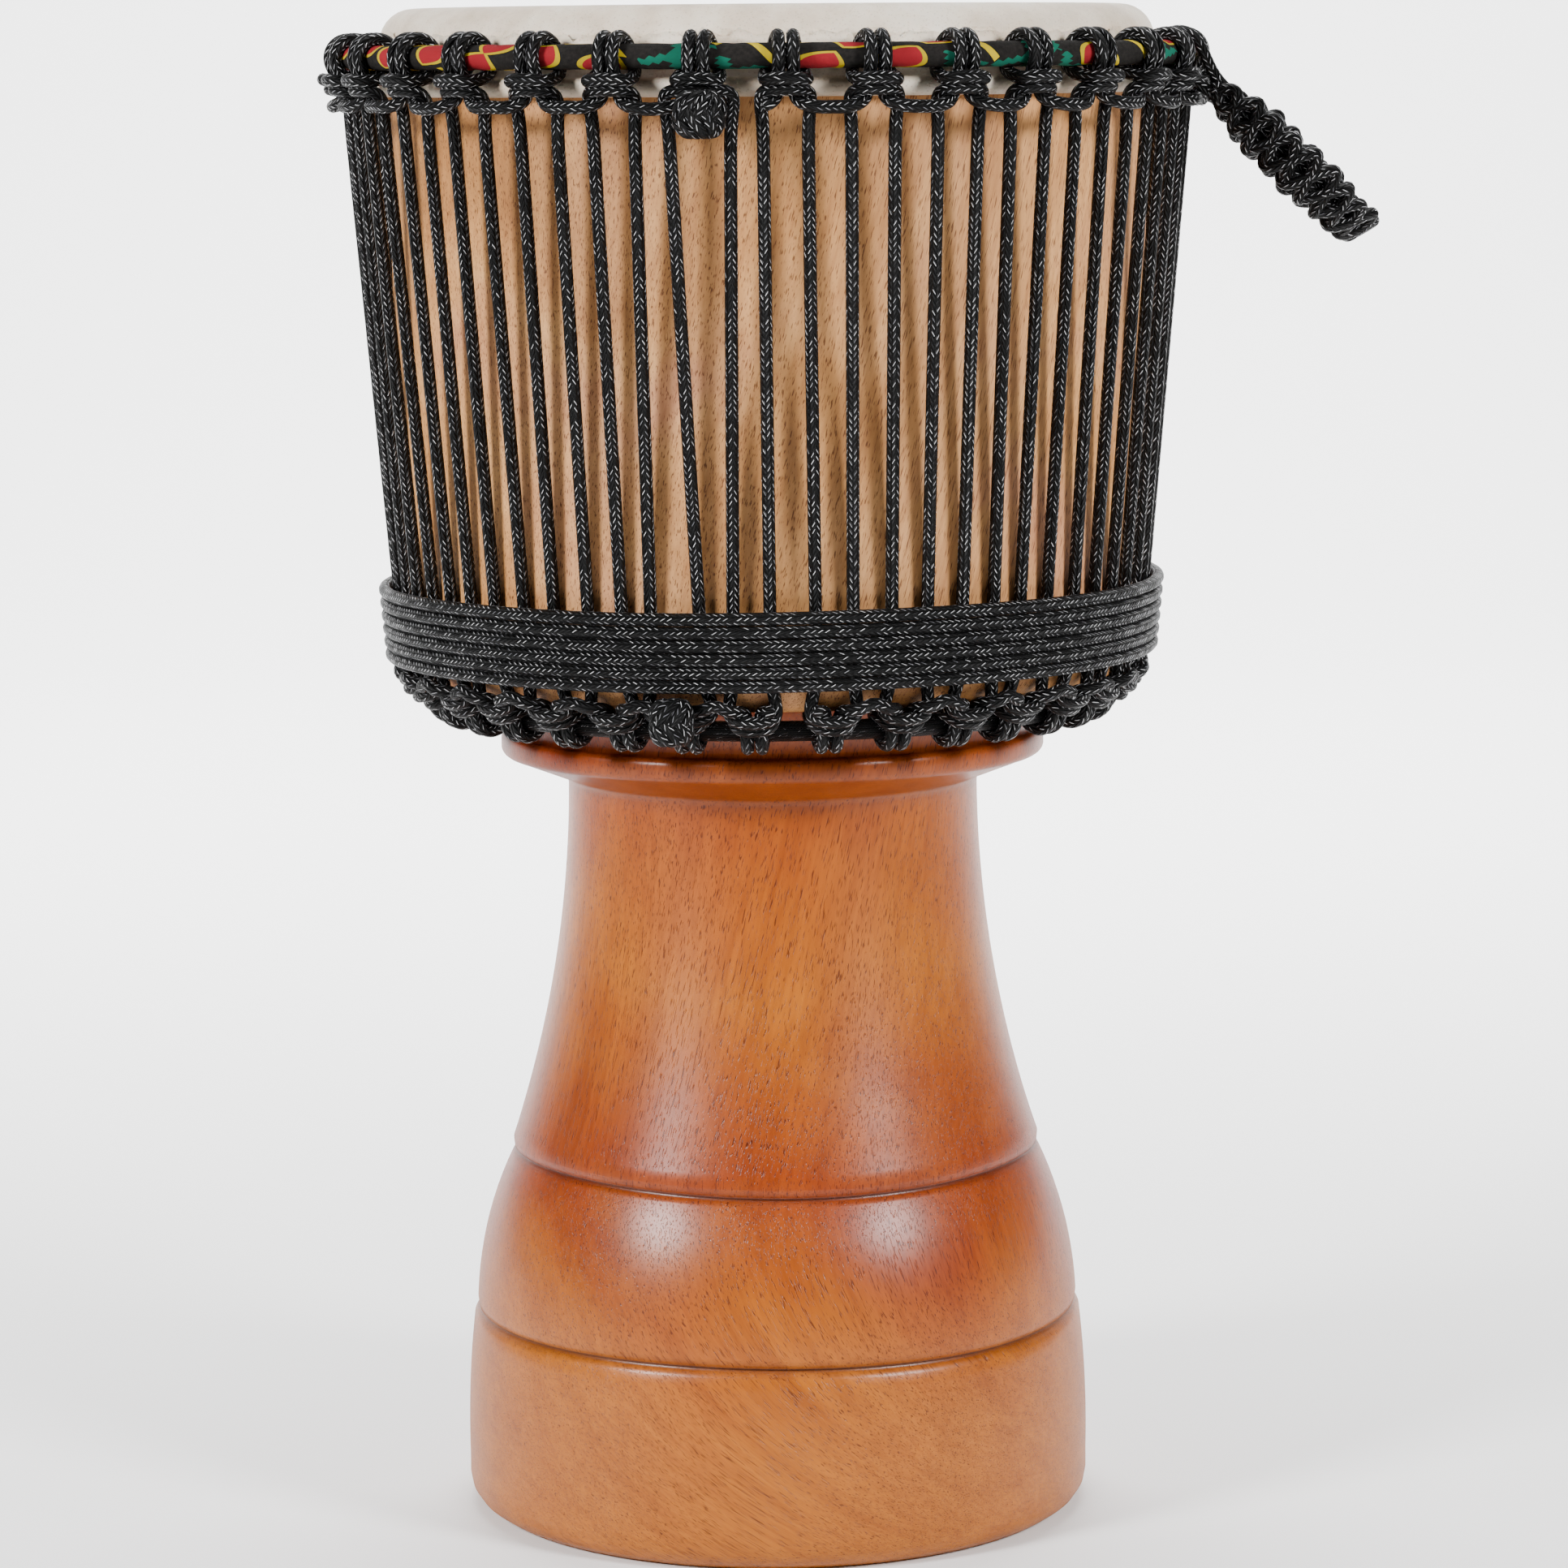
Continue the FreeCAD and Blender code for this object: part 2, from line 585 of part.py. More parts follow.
class Handle:
    """Loop of doubled cord hung on the crown ring in two gaps between hitches. Its
    swing axis is the chord through the ring's centre at those two gaps."""

    def __init__(self):
        ring = crown_ring()
        space = 2 * math.pi / size("loop_count")
        first = hitch_azimuth(HANDLE_FIRST_GAP) + space / 2
        last = first + space * HANDLE_GAPS_APART
        middle = (first + last) / 2
        self.half_span = ring.radius * math.sin((last - first) / 2)
        self.axis = Vector(math.cos(middle), math.sin(middle), 0)
        self.outward = Vector(math.sin(middle), -math.cos(middle), 0)
        self.origin = at_azimuth(ring.radius * math.cos((last - first) / 2), middle, ring.height)
        up = Vector(0, 0, 1)
        self.along = self.outward * math.cos(HANDLE_DROOP) - up * math.sin(HANDLE_DROOP)
        self.across = self.outward * math.sin(HANDLE_DROOP) + up * math.cos(HANDLE_DROOP)
        self.ring_radius = size("crown_steel_radius") + size("cloth_thickness")

    def point(self, side, along, across):
        """Point from its place along the axis, down the droop and above the loop."""
        return self.origin + self.axis * side + self.along * along + self.across * across

    def half_loop(self, lift):
        """One side of the loop, from its root to just before the tip."""
        reach = size("handle_reach") * math.sqrt(2)
        span = self.half_span
        places = [
            (-span, 0.17, 0.9),
            (-span - 2, 0.28, 1.0),
            (-span - 3, 0.48, 1.0),
            (-span - 1, 0.64, 1.0),
            (-span + 5, 0.80, 1.0),
            (-span + 17, 0.94, 1.0),
        ]
        return [(side, reach * share, lift * near) for side, share, near in places]


def strand_places(handle, lift):
    """One strand of the loop, root to root, as places on the loop's plane."""
    first = handle.half_loop(lift)
    second = [(-side, along, across) for side, along, across in reversed(first)]
    tip = [(0.0, size("handle_reach") * math.sqrt(2), lift)]
    return first + tip + second


def root_turn(handle, side):
    """Half turn of the core cord round the back of the ring, top to underside."""
    wrap = (handle.ring_radius + size("handle_core_diameter") / 2
            + size("handle_ring_clearance")) * OCTAGON
    long_side = wrap * math.cos(math.radians(22.5))
    short_side = wrap * math.sin(math.radians(22.5))
    return [
        (side, short_side, long_side),
        (side, -short_side, long_side),
        (side, -long_side, short_side),
        (side, -long_side, -short_side),
        (side, -short_side, -long_side),
        (side, short_side, -long_side),
    ]


def make_handle_core(handle):
    """Core cord: out on the upper strand, round the ring, back on the lower strand."""
    core = size("handle_core_diameter")
    lift = core / 2 + 0.05
    upper = strand_places(handle, lift)
    lower = [(side, along, across) for side, along, across in reversed(strand_places(handle, -lift))]
    route = upper[6:] + root_turn(handle, handle.half_span) + lower
    route += root_turn(handle, -handle.half_span)[::-1] + upper[:7]
    places = [handle.point(*place) for place in route]
    join = (places[0] + places[1]) * 0.5
    route_points = [join] + places[1:-1] + [places[-1], join]
    return add_shape("handle_core_cord", cord_solid("handle_core_cord", route_points, core))


def make_handle_cover(handle):
    """Knotted cover: cord wound round both core strands, root to root."""
    core = size("handle_core_diameter")
    cord = size("handle_cord_diameter")
    places = strand_places(handle, 0.0)[1:-1]
    wire, radii = cord_wire([handle.point(*place) for place in places])
    wide = (core + cord / 2 + 0.3) * OCTAGON
    flat = (core / 2 + cord / 2 + 0.3) * OCTAGON
    turns = int(wire.Length / (cord + 0.5))
    steps = 8
    count = turns * steps
    spots = wire.discretize(Number=count + 1)
    route = []
    for index in range(count):
        spot = spots[index]
        way = spots[index + 1] - spot
        way = way / way.Length
        sideways = handle.across.cross(way)
        angle = 2 * math.pi * index / steps
        route.append(spot + handle.across * (wide * math.cos(angle))
                     + sideways * (flat * math.sin(angle)))
    return add_shape("handle_cover_cord", cord_solid("handle_cover_cord", route, cord))


def make_handle():
    handle = Handle()
    make_handle_core(handle)
    make_handle_cover(handle)
    print("handle axis through", [round(v, 3) for v in handle.origin],
          "along", [round(v, 5) for v in handle.axis])


# ---------------------------------------------------------------- whole drum

def write_parts():
    """Check every object, then write one file per sub-part."""
    os.makedirs("parts", exist_ok=True)
    for item in doc.Objects:
        if "Invalid" in item.State or "Error" in item.State:
            raise RuntimeError("%s did not compute: %s" % (item.Label, item.State))
    for piece in PARTS:
        if piece.Shape.isNull() or not piece.Shape.isValid():
            raise RuntimeError("%s has no valid shape" % piece.Label)
    for piece in PARTS:
        piece.Shape.exportStep("parts/%s.step" % piece.Label)
        print("%-24s %10.1f mm3  solids %d" % (piece.Label, piece.Shape.Volume,
                                              len(piece.Shape.Solids)))


make_shell()
make_drum_head()
make_rings()
doc.recompute()
make_cradle("top_cradle_cord", crown_ring(), hitch_azimuth, TOP_BAR_OUT, TOP_SCALLOP)
make_cradle("bottom_cradle_cord", bottom_ring(), bottom_hitch_azimuth, BOTTOM_BAR_OUT,
            BOTTOM_SCALLOP)
add_shape("tension_rope", cord_solid("tension_rope", tension_route(), size("rope_diameter")))
make_reserve_turns()
make_knots()
make_handle()
doc.recompute()
write_parts()
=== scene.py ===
import math
import random

import bmesh
import bpy
from mathutils import Matrix, Vector, noise


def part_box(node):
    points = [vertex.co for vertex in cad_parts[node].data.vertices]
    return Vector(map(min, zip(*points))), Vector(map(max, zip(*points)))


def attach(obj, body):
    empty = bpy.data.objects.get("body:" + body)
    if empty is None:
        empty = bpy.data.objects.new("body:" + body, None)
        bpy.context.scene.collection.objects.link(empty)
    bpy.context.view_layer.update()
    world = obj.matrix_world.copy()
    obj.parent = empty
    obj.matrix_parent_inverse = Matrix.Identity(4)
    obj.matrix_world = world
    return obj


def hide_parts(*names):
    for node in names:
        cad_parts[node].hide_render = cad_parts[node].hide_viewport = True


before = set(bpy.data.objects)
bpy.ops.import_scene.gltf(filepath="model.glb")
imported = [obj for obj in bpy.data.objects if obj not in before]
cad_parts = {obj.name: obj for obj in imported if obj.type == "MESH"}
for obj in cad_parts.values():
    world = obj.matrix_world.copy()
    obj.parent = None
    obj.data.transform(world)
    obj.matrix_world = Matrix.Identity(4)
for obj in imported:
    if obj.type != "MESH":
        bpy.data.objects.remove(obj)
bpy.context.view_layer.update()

MM = 0.001

# ---------------------------------------------------------------- sizes, in millimetres

LOOPS = 32
FIRST_HITCH = math.radians(2.5)
PITCH = 2 * math.pi / LOOPS
ROPE_DRIFT = math.radians(0.8)
TOP_KNOT_HITCH = 31
BOTTOM_KNOT_HITCH = 30
ROPE_END_HITCH = 15
HANDLE_FIRST_GAP = 6
HANDLE_GAPS_APART = 2
KNOT_SPREAD = 1.4
BOTTOM_TILT = math.radians(28.0)
OCTAGON = 1.0 / math.cos(math.radians(22.5))
ROPE = 5.0
ROPE_GAP = 0.1
HANDLE_REACH = 70.0
HANDLE_DROOP = math.radians(44.0)
HANDLE_RING_CLEARANCE = 0.7

BOWL_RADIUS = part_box("shell")[1].x / MM
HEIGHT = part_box("drum_head")[1].z / MM
SKIN = 1.1
HOOP_RADIUS = 2.5
HOOP_DROP = 30.2
TRIM_DROP = 12.5
HEAD_CENTRE = 12.0
EDGE_ROUND = 12.0
CREST = HEIGHT - SKIN - 0.2
BOWL_SIDE = BOWL_RADIUS - 5.6
BOWL_WALL = 18.0
BOWL_BOTTOM = 336.8
BOWL_EDGE_HEIGHT = 12.5
BOWL_EDGE_STEP = 2.4
COLLAR_RADIUS = 108.5
COLLAR_TOP = 315.0
WAIST_RADIUS = 81.8
THROAT_RADIUS = 58.0
FOOT_RADIUS = 125.3
# the two carved grooves, as (height, radius)
GROOVES = ((145.5, 105.0), (81.0, 120.2))
RUN_SLACK = 0.8
RUN_RADIUS = BOWL_SIDE - BOWL_EDGE_STEP + ROPE / 2 + RUN_SLACK
RESERVE_TURNS = 6
RESERVE_SLACK = 0.9
RESERVE_FLARE = 0.45
WINDING_STEPS = 32
KNOT_RADIUS = 9.5

# Where a cradle cord leads from a hitch to its scallop, as (along, out, away) in rope
# diameters, away being counted from the hitch's wrap; the last place is the scallop's
# middle, half a space along.
TOP_SCALLOP = [(0.56, 0.36, 0.90), (0.86, 0.50, 1.75), (2.04, 1.28, 2.13),
               (None, 1.32, 2.13)]
BOTTOM_SCALLOP = [(0.54, 1.17, 0.62), (0.64, 1.52, 1.37), (1.16, 2.10, 1.80),
                  (1.76, 2.48, 2.08), (None, 2.26, 2.53)]
TOP_BAR_OUT = 0.44
BOTTOM_BAR_OUT = 0.64


# ---------------------------------------------------------------- node helpers

def linear(hex_text):
    """Linear colour from an sRGB hex value."""
    shares = [int(hex_text[place:place + 2], 16) / 255 for place in (0, 2, 4)]
    return tuple(c / 12.92 if c <= 0.04045 else ((c + 0.055) / 1.055) ** 2.4
                 for c in shares) + (1.0,)


def new_material(name):
    """Empty node material with its surface shader and output."""
    material = bpy.data.materials.new(name)
    material.use_nodes = True
    material.node_tree.nodes.clear()
    shader = add(material.node_tree, "ShaderNodeBsdfPrincipled")
    add(material.node_tree, "ShaderNodeOutputMaterial", {"Surface": shader.outputs["BSDF"]})
    return material, material.node_tree, shader


def add(tree, kind, sockets=None, ramp=None, **settings):
    """Add one node: its settings, then its sockets, each a value or a link."""
    item = tree.nodes.new(kind)
    for name, value in settings.items():
        setattr(item, name, value)
    for key, value in (sockets or {}).items():
        if isinstance(value, bpy.types.NodeSocket):
            tree.links.new(value, item.inputs[key])
        else:
            item.inputs[key].default_value = value
    if ramp:
        stops = item.color_ramp.elements
        while len(stops) < len(ramp):
            stops.new(0.5)
        for stop, (place, shade) in zip(stops, ramp):
            stop.position = place
            stop.color = linear(shade) if isinstance(shade, str) else (shade,) * 3 + (1.0,)
    return item


def math_node(tree, operation, first, second=0.0, third=0.0, clamp=False):
    """Result of one sum on two or three values or links."""
    item = add(tree, "ShaderNodeMath", {0: first, 1: second, 2: third},
               operation=operation, use_clamp=clamp)
    return item.outputs[0]


def mix_colour(tree, share, first, second, blend="MIX"):
    """Second colour over first by share."""
    item = add(tree, "ShaderNodeMix", {0: share, 6: first, 7: second},
               data_type="RGBA", blend_type=blend)
    return item.outputs[2]


def bump(tree, height, distance_mm, strength=1.0, normal=None):
    """Surface relief, its depth in millimetres."""
    sockets = {"Height": height, "Distance": distance_mm * MM, "Strength": strength}
    if normal is not None:
        sockets["Normal"] = normal
    return add(tree, "ShaderNodeBump", sockets).outputs["Normal"]


# ---------------------------------------------------------------- materials

def braided_polyester(name, strand_mm, column_count, glint_share, glint_width):
    """Braided polyester cord: black yarns in a herringbone of slanting strands, with short
    pale flecks painted on the strands' crowns as painted highlights of the lamps' gloss;
    smooth filament, so it has a soft gloss. The piece's UV holds turns round the cord and
    millimetres along it."""
    material, tree, shader = new_material(name)
    place = add(tree, "ShaderNodeUVMap").outputs["UV"]
    split = add(tree, "ShaderNodeSeparateXYZ", {0: place})
    columns = math_node(tree, "MULTIPLY", split.outputs[0], column_count)
    column = math_node(tree, "FLOOR", columns)
    across = math_node(tree, "SUBTRACT", math_node(tree, "FRACT", columns), 0.5)
    odd = math_node(tree, "MODULO", column, 2.0)
    lean = math_node(tree, "MULTIPLY_ADD", odd, 2.0, -1.0)
    rise = math_node(tree, "DIVIDE", split.outputs[1], strand_mm)
    slant = math_node(tree, "MULTIPLY", math_node(tree, "MULTIPLY", across, lean), 1.15)
    shifted = math_node(tree, "ADD", math_node(tree, "ADD", rise, slant),
                        math_node(tree, "MULTIPLY", odd, 0.5))
    strand = math_node(tree, "SUBTRACT", math_node(tree, "FRACT", shifted), 0.5)
    along = math_node(tree, "ABSOLUTE", strand)
    side = math_node(tree, "ABSOLUTE", across)
    crown = math_node(tree, "SUBTRACT", 1.0, math_node(tree, "POWER",
                      math_node(tree, "MULTIPLY", along, 2.0), 2.5))
    shoulder = math_node(tree, "SUBTRACT", 1.0, math_node(tree, "POWER",
                         math_node(tree, "MULTIPLY", side, 2.0), 3.0))
    height = math_node(tree, "MULTIPLY", crown, shoulder)
    # one number for each strand, to let the painted highlights come and go
    strand_id = add(tree, "ShaderNodeCombineXYZ",
                    {0: column, 1: math_node(tree, "FLOOR", shifted), 2: 0.0})
    chance = add(tree, "ShaderNodeTexWhiteNoise", {"Vector": strand_id.outputs[0]},
                 noise_dimensions="3D").outputs["Value"]
    # painted highlight: short pale dashes on the strands' crowns stand in for the lamps' gloss on the
    # black filament
    present = math_node(tree, "LESS_THAN", chance, glint_share)
    line = math_node(tree, "LESS_THAN", along, glint_width)
    short = math_node(tree, "LESS_THAN", side, 0.27)
    painted_glint = math_node(tree, "MULTIPLY", math_node(tree, "MULTIPLY", line, short), present)
    wear = add(tree, "ShaderNodeTexNoise", {"Vector": place, "Scale": 0.05, "Detail": 2.0})
    # painted shade: the strands are painted darker down between them and a little lighter on their
    # crowns, the wear noise varying it along the cord
    yarn_with_painted_shade = add(tree, "ShaderNodeValToRGB", {0: math_node(tree, "MULTIPLY", height,
               math_node(tree, "MULTIPLY_ADD", wear.outputs[0], 0.6, 0.7))},
               ramp=[(0.0, "000000"), (0.55, "020202"), (1.0, "060607")])
    pale = add(tree, "ShaderNodeValToRGB", {0: chance},
               ramp=[(0.0, "c0c0c2"), (glint_share, "55555a")])
    colour = mix_colour(tree, painted_glint, yarn_with_painted_shade.outputs[0], pale.outputs[0])
    tree.links.new(colour, shader.inputs["Base Color"])
    rough = math_node(tree, "MULTIPLY_ADD", chance, 0.16, 0.40)
    tree.links.new(rough, shader.inputs["Roughness"])
    tree.links.new(bump(tree, height, 0.8), shader.inputs["Normal"])
    shader.inputs["Specular IOR Level"].default_value = 0.16
    return material


def mahogany():
    """Mahogany-like hardwood turned from one log: the bowl is sanded and left natural,
    a pale satin tan with faint pink and dark ribbons; collar, waist and bell are stained
    and lacquered, a deep orange-brown that turns golden at the foot, and shine."""
    material, tree, shader = new_material("mahogany_natural_and_lacquered")
    place = add(tree, "ShaderNodeTexCoord").outputs["Object"]
    height = add(tree, "ShaderNodeSeparateXYZ", {0: place}).outputs[2]
    tilt = (math.radians(7.0), math.radians(-13.0), 0.0)
    # interlocked grain leans further and further over towards the foot
    drop = math_node(tree, "MAXIMUM", math_node(tree, "SUBTRACT", 0.16, height), 0.0)
    shift = math_node(tree, "MULTIPLY", math_node(tree, "MULTIPLY", drop, drop), -6.5)
    leaning = add(tree, "ShaderNodeVectorMath", {0: place, 1: add(
        tree, "ShaderNodeCombineXYZ", {0: shift}).outputs[0]}, operation="ADD").outputs[0]
    log = add(tree, "ShaderNodeMapping", {"Vector": leaning, "Rotation": tilt}).outputs[0]
    # grain runs along the log, so every pattern is long that way
    long_grain = add(tree, "ShaderNodeMapping", {"Vector": log, "Scale": (1, 1, 0.07)}).outputs[0]
    broad = add(tree, "ShaderNodeTexNoise", {"Vector": log, "Scale": 9.0, "Detail": 3.0,
                "Roughness": 0.55, "Distortion": 0.6}).outputs[0]
    ribbon = add(tree, "ShaderNodeTexNoise", {"Vector": long_grain, "Scale": 75.0,
                 "Detail": 3.0, "Roughness": 0.6, "Distortion": 0.4}).outputs[0]
    streak = add(tree, "ShaderNodeTexNoise", {"Vector": long_grain, "Scale": 520.0,
                 "Detail": 2.0, "Roughness": 0.6}).outputs[0]
    # pores 0.2 mm wide and about 3 mm long, slanting as the grain does
    pore_grain = add(tree, "ShaderNodeMapping", {"Vector": log, "Scale": (1, 1, 0.09)}).outputs[0]
    pore_noise = add(tree, "ShaderNodeTexNoise", {"Vector": pore_grain, "Scale": 2100.0,
                     "Detail": 1.0, "Roughness": 0.5}).outputs[0]
    pore = add(tree, "ShaderNodeValToRGB", {0: pore_noise},
               ramp=[(0.58, 0.0), (0.68, 1.0)]).outputs[0]
    cloud = add(tree, "ShaderNodeTexNoise", {"Vector": log, "Scale": 5.5, "Detail": 3.0,
                "Roughness": 0.5, "Distortion": 0.8}).outputs[0]
    vein = add(tree, "ShaderNodeValToRGB", {0: cloud},
               ramp=[(0.0, 0.0), (0.60, 0.0), (0.63, 1.0), (0.645, 0.2), (0.70, 0.0)]).outputs[0]

    natural = add(tree, "ShaderNodeValToRGB", {0: broad}, ramp=[
        (0.30, "a4713e"), (0.43, "c48d55"), (0.52, "d09a62"), (0.66, "c88f66")]).outputs[0]
    # the stain by height, pushed about by the figure of the wood
    level = math_node(tree, "ADD", math_node(tree, "DIVIDE", height, 0.34),
                      math_node(tree, "MULTIPLY_ADD", broad, 0.40, -0.20))
    stained = add(tree, "ShaderNodeValToRGB", {0: level}, ramp=[
        (0.0, "aa6218"), (0.16, "a75e16"), (0.28, "9f5412"), (0.40, "8a380b"),
        (0.52, "944610"), (0.68, "a85e17"), (0.85, "98490f"), (1.0, "742a05")]).outputs[0]
    edge = math_node(tree, "GREATER_THAN", height, 335.0 * MM)
    base = mix_colour(tree, edge, stained, natural)
    ribbon_share = math_node(tree, "MULTIPLY_ADD", ribbon, 2.2, -0.78, clamp=True)
    base = mix_colour(tree, math_node(tree, "MULTIPLY", ribbon_share, 0.42), base,
                      mix_colour(tree, 1.0, base, linear("a8744c"), "MULTIPLY"))
    streak_share = math_node(tree, "MULTIPLY_ADD", streak, 2.4, -0.9, clamp=True)
    base = mix_colour(tree, math_node(tree, "MULTIPLY", streak_share, 0.38), base,
                      mix_colour(tree, 1.0, base, linear("94613c"), "MULTIPLY"))
    base = mix_colour(tree, math_node(tree, "MULTIPLY", pore, 0.75), base,
                      mix_colour(tree, 1.0, base, linear("643a1c"), "MULTIPLY"))
    below = math_node(tree, "SUBTRACT", 1.0, edge)
    base = mix_colour(tree, math_node(tree, "MULTIPLY", math_node(
        tree, "MULTIPLY", vein, 0.38), below), base, linear("4a1e08"))
    # painted shade: the wood is painted darker along the creases of the two carved grooves
    groove_painted_shade = add(tree, "ShaderNodeAttribute", attribute_name="groove_painted_shade").outputs["Fac"]
    base = mix_colour(tree, math_node(tree, "MULTIPLY", groove_painted_shade, 0.8), base,
                      mix_colour(tree, 1.0, base, linear("5c3218"), "MULTIPLY"))
    tree.links.new(base, shader.inputs["Base Color"])
    rough = math_node(tree, "ADD", math_node(tree, "MULTIPLY_ADD", edge, 0.21, 0.28),
                      math_node(tree, "MULTIPLY", broad, 0.10))
    tree.links.new(rough, shader.inputs["Roughness"])
    relief = math_node(tree, "SUBTRACT", math_node(tree, "MULTIPLY", streak, 0.3), pore)
    tree.links.new(bump(tree, relief, 0.05), shader.inputs["Normal"])
    glance = add(tree, "ShaderNodeLayerWeight", {"Blend": 0.5}).outputs["Facing"]
    gloss = math_node(tree, "MULTIPLY_ADD", math_node(tree, "MULTIPLY", glance, glance),
                      -0.34, 0.34, clamp=True)
    tree.links.new(gloss, shader.inputs["Specular IOR Level"])
    return material


def goat_skin():
    """Raw goat skin: off-white, dry and matt, with faint mottling, pores from the shaved
    hair and warm stains in the folds under the ring."""
    material, tree, shader = new_material("goat_skin")
    place = add(tree, "ShaderNodeTexCoord").outputs["Object"]
    height = add(tree, "ShaderNodeSeparateXYZ", {0: place}).outputs[2]
    mottle = add(tree, "ShaderNodeTexNoise", {"Vector": place, "Scale": 38.0, "Detail": 5.0,
                 "Roughness": 0.6}).outputs[0]
    # hair pores about 1 mm apart
    hair = add(tree, "ShaderNodeTexVoronoi", {"Vector": place, "Scale": 800.0}).outputs["Distance"]
    speck = add(tree, "ShaderNodeValToRGB", {0: hair}, ramp=[(0.10, 1.0), (0.30, 0.0)]).outputs[0]
    base = add(tree, "ShaderNodeValToRGB", {0: mottle}, ramp=[
        (0.25, "b8a68f"), (0.42, "cdbda8"), (0.58, "ddd0bd"), (0.78, "e4dbcc")]).outputs[0]
    fold = add(tree, "ShaderNodeTexNoise", {"Vector": place, "Scale": 120.0, "Detail": 4.0,
               "Roughness": 0.7, "Distortion": 1.0}).outputs[0]
    stain = add(tree, "ShaderNodeValToRGB", {0: fold}, ramp=[(0.52, 0.0), (0.72, 1.0)]).outputs[0]
    low = math_node(tree, "LESS_THAN", height, (HEIGHT - 9.0) * MM)
    base = mix_colour(tree, math_node(tree, "MULTIPLY", math_node(tree, "MULTIPLY", stain, low), 0.5),
                      base, linear("9c8467"))
    base = mix_colour(tree, math_node(tree, "MULTIPLY", speck, 0.30), base, linear("8d6f5c"))
    tree.links.new(base, shader.inputs["Base Color"])
    relief = math_node(tree, "MULTIPLY_ADD", speck, -0.4, mottle)
    tree.links.new(bump(tree, relief, 0.25), shader.inputs["Normal"])
    shader.inputs["Roughness"].default_value = 0.55
    shader.inputs["Subsurface Weight"].default_value = 0.08
    shader.inputs["Subsurface Scale"].default_value = 0.002
    return material


def printed_cotton():
    """Printed cotton wound round the ring: plain weave, charcoal ground, with red leaves
    edged in yellow, green steps and small yellow bars. The UV is in millimetres."""
    material, tree, shader = new_material("printed_cotton")
    place = add(tree, "ShaderNodeUVMap").outputs["UV"]
    # the strip is wound on the skew, so its print is turned
    skew = add(tree, "ShaderNodeMapping", {"Vector": place, "Rotation": (0, 0, math.radians(58.0)),
               "Scale": (1 / 13.0, 1 / 23.0, 1.0)}).outputs[0]
    cell = add(tree, "ShaderNodeTexVoronoi", {"Vector": skew, "Scale": 1.0, "Randomness": 0.35},
               voronoi_dimensions="2D")
    kind = add(tree, "ShaderNodeSeparateColor", {0: cell.outputs["Color"]}).outputs[0]
    offset = add(tree, "ShaderNodeVectorMath", {0: skew, 1: cell.outputs["Position"]},
                 operation="SUBTRACT").outputs[0]
    split = add(tree, "ShaderNodeSeparateXYZ", {0: offset})
    across = math_node(tree, "ABSOLUTE", split.outputs[0])
    along = math_node(tree, "ABSOLUTE", split.outputs[1])
    belly = math_node(tree, "SUBTRACT", 0.25, math_node(tree, "MULTIPLY", along, along))
    leaf = math_node(tree, "SUBTRACT", math_node(tree, "MULTIPLY", belly, 1.7), across)
    yellow = math_node(tree, "GREATER_THAN", leaf, 0.0)
    red = math_node(tree, "GREATER_THAN", leaf, 0.10)
    steps = math_node(tree, "MULTIPLY", math_node(tree, "FLOOR",
                      math_node(tree, "MULTIPLY", along, 7.0)), 0.11)
    stair = math_node(tree, "ABSOLUTE", math_node(tree, "SUBTRACT", across, steps))
    green = math_node(tree, "LESS_THAN", stair, 0.13)
    is_leaf = math_node(tree, "LESS_THAN", kind, 0.50)
    is_green = math_node(tree, "MULTIPLY", math_node(tree, "GREATER_THAN", kind, 0.50),
                         math_node(tree, "LESS_THAN", kind, 0.78))
    is_bar = math_node(tree, "GREATER_THAN", kind, 0.78)
    bar = math_node(tree, "LESS_THAN", math_node(tree, "ABSOLUTE",
                    math_node(tree, "SUBTRACT", split.outputs[1],
                              math_node(tree, "MULTIPLY", split.outputs[0], 0.6))), 0.08)
    ground = add(tree, "ShaderNodeTexNoise", {"Vector": place, "Scale": 0.6, "Detail": 2.0})
    base = add(tree, "ShaderNodeValToRGB", {0: ground.outputs[0]},
               ramp=[(0.3, "141210"), (0.7, "24211e")]).outputs[0]
    base = mix_colour(tree, math_node(tree, "MULTIPLY", green, is_green), base, linear("0a6a54"))
    base = mix_colour(tree, math_node(tree, "MULTIPLY", bar, is_bar), base, linear("dcc016"))
    base = mix_colour(tree, math_node(tree, "MULTIPLY", yellow, is_leaf), base, linear("c2a812"))
    base = mix_colour(tree, math_node(tree, "MULTIPLY", red, is_leaf), base, linear("9c1f28"))
    # threads 0.35 mm apart
    warp = add(tree, "ShaderNodeTexWave", {"Vector": place, "Scale": 0.9}, bands_direction="X")
    weft = add(tree, "ShaderNodeTexWave", {"Vector": place, "Scale": 0.9}, bands_direction="Y")
    thread = math_node(tree, "MULTIPLY", warp.outputs[1], weft.outputs[1])
    # painted shade: the cloth is painted darker between the threads, where the weave dips
    base = mix_colour(tree, math_node(tree, "MULTIPLY_ADD", thread, -0.35, 0.35), base,
                      linear("0c0c0d"))
    tree.links.new(base, shader.inputs["Base Color"])
    tree.links.new(bump(tree, thread, 0.12), shader.inputs["Normal"])
    shader.inputs["Roughness"].default_value = 0.85
    shader.inputs["Specular IOR Level"].default_value = 0.15
    return material


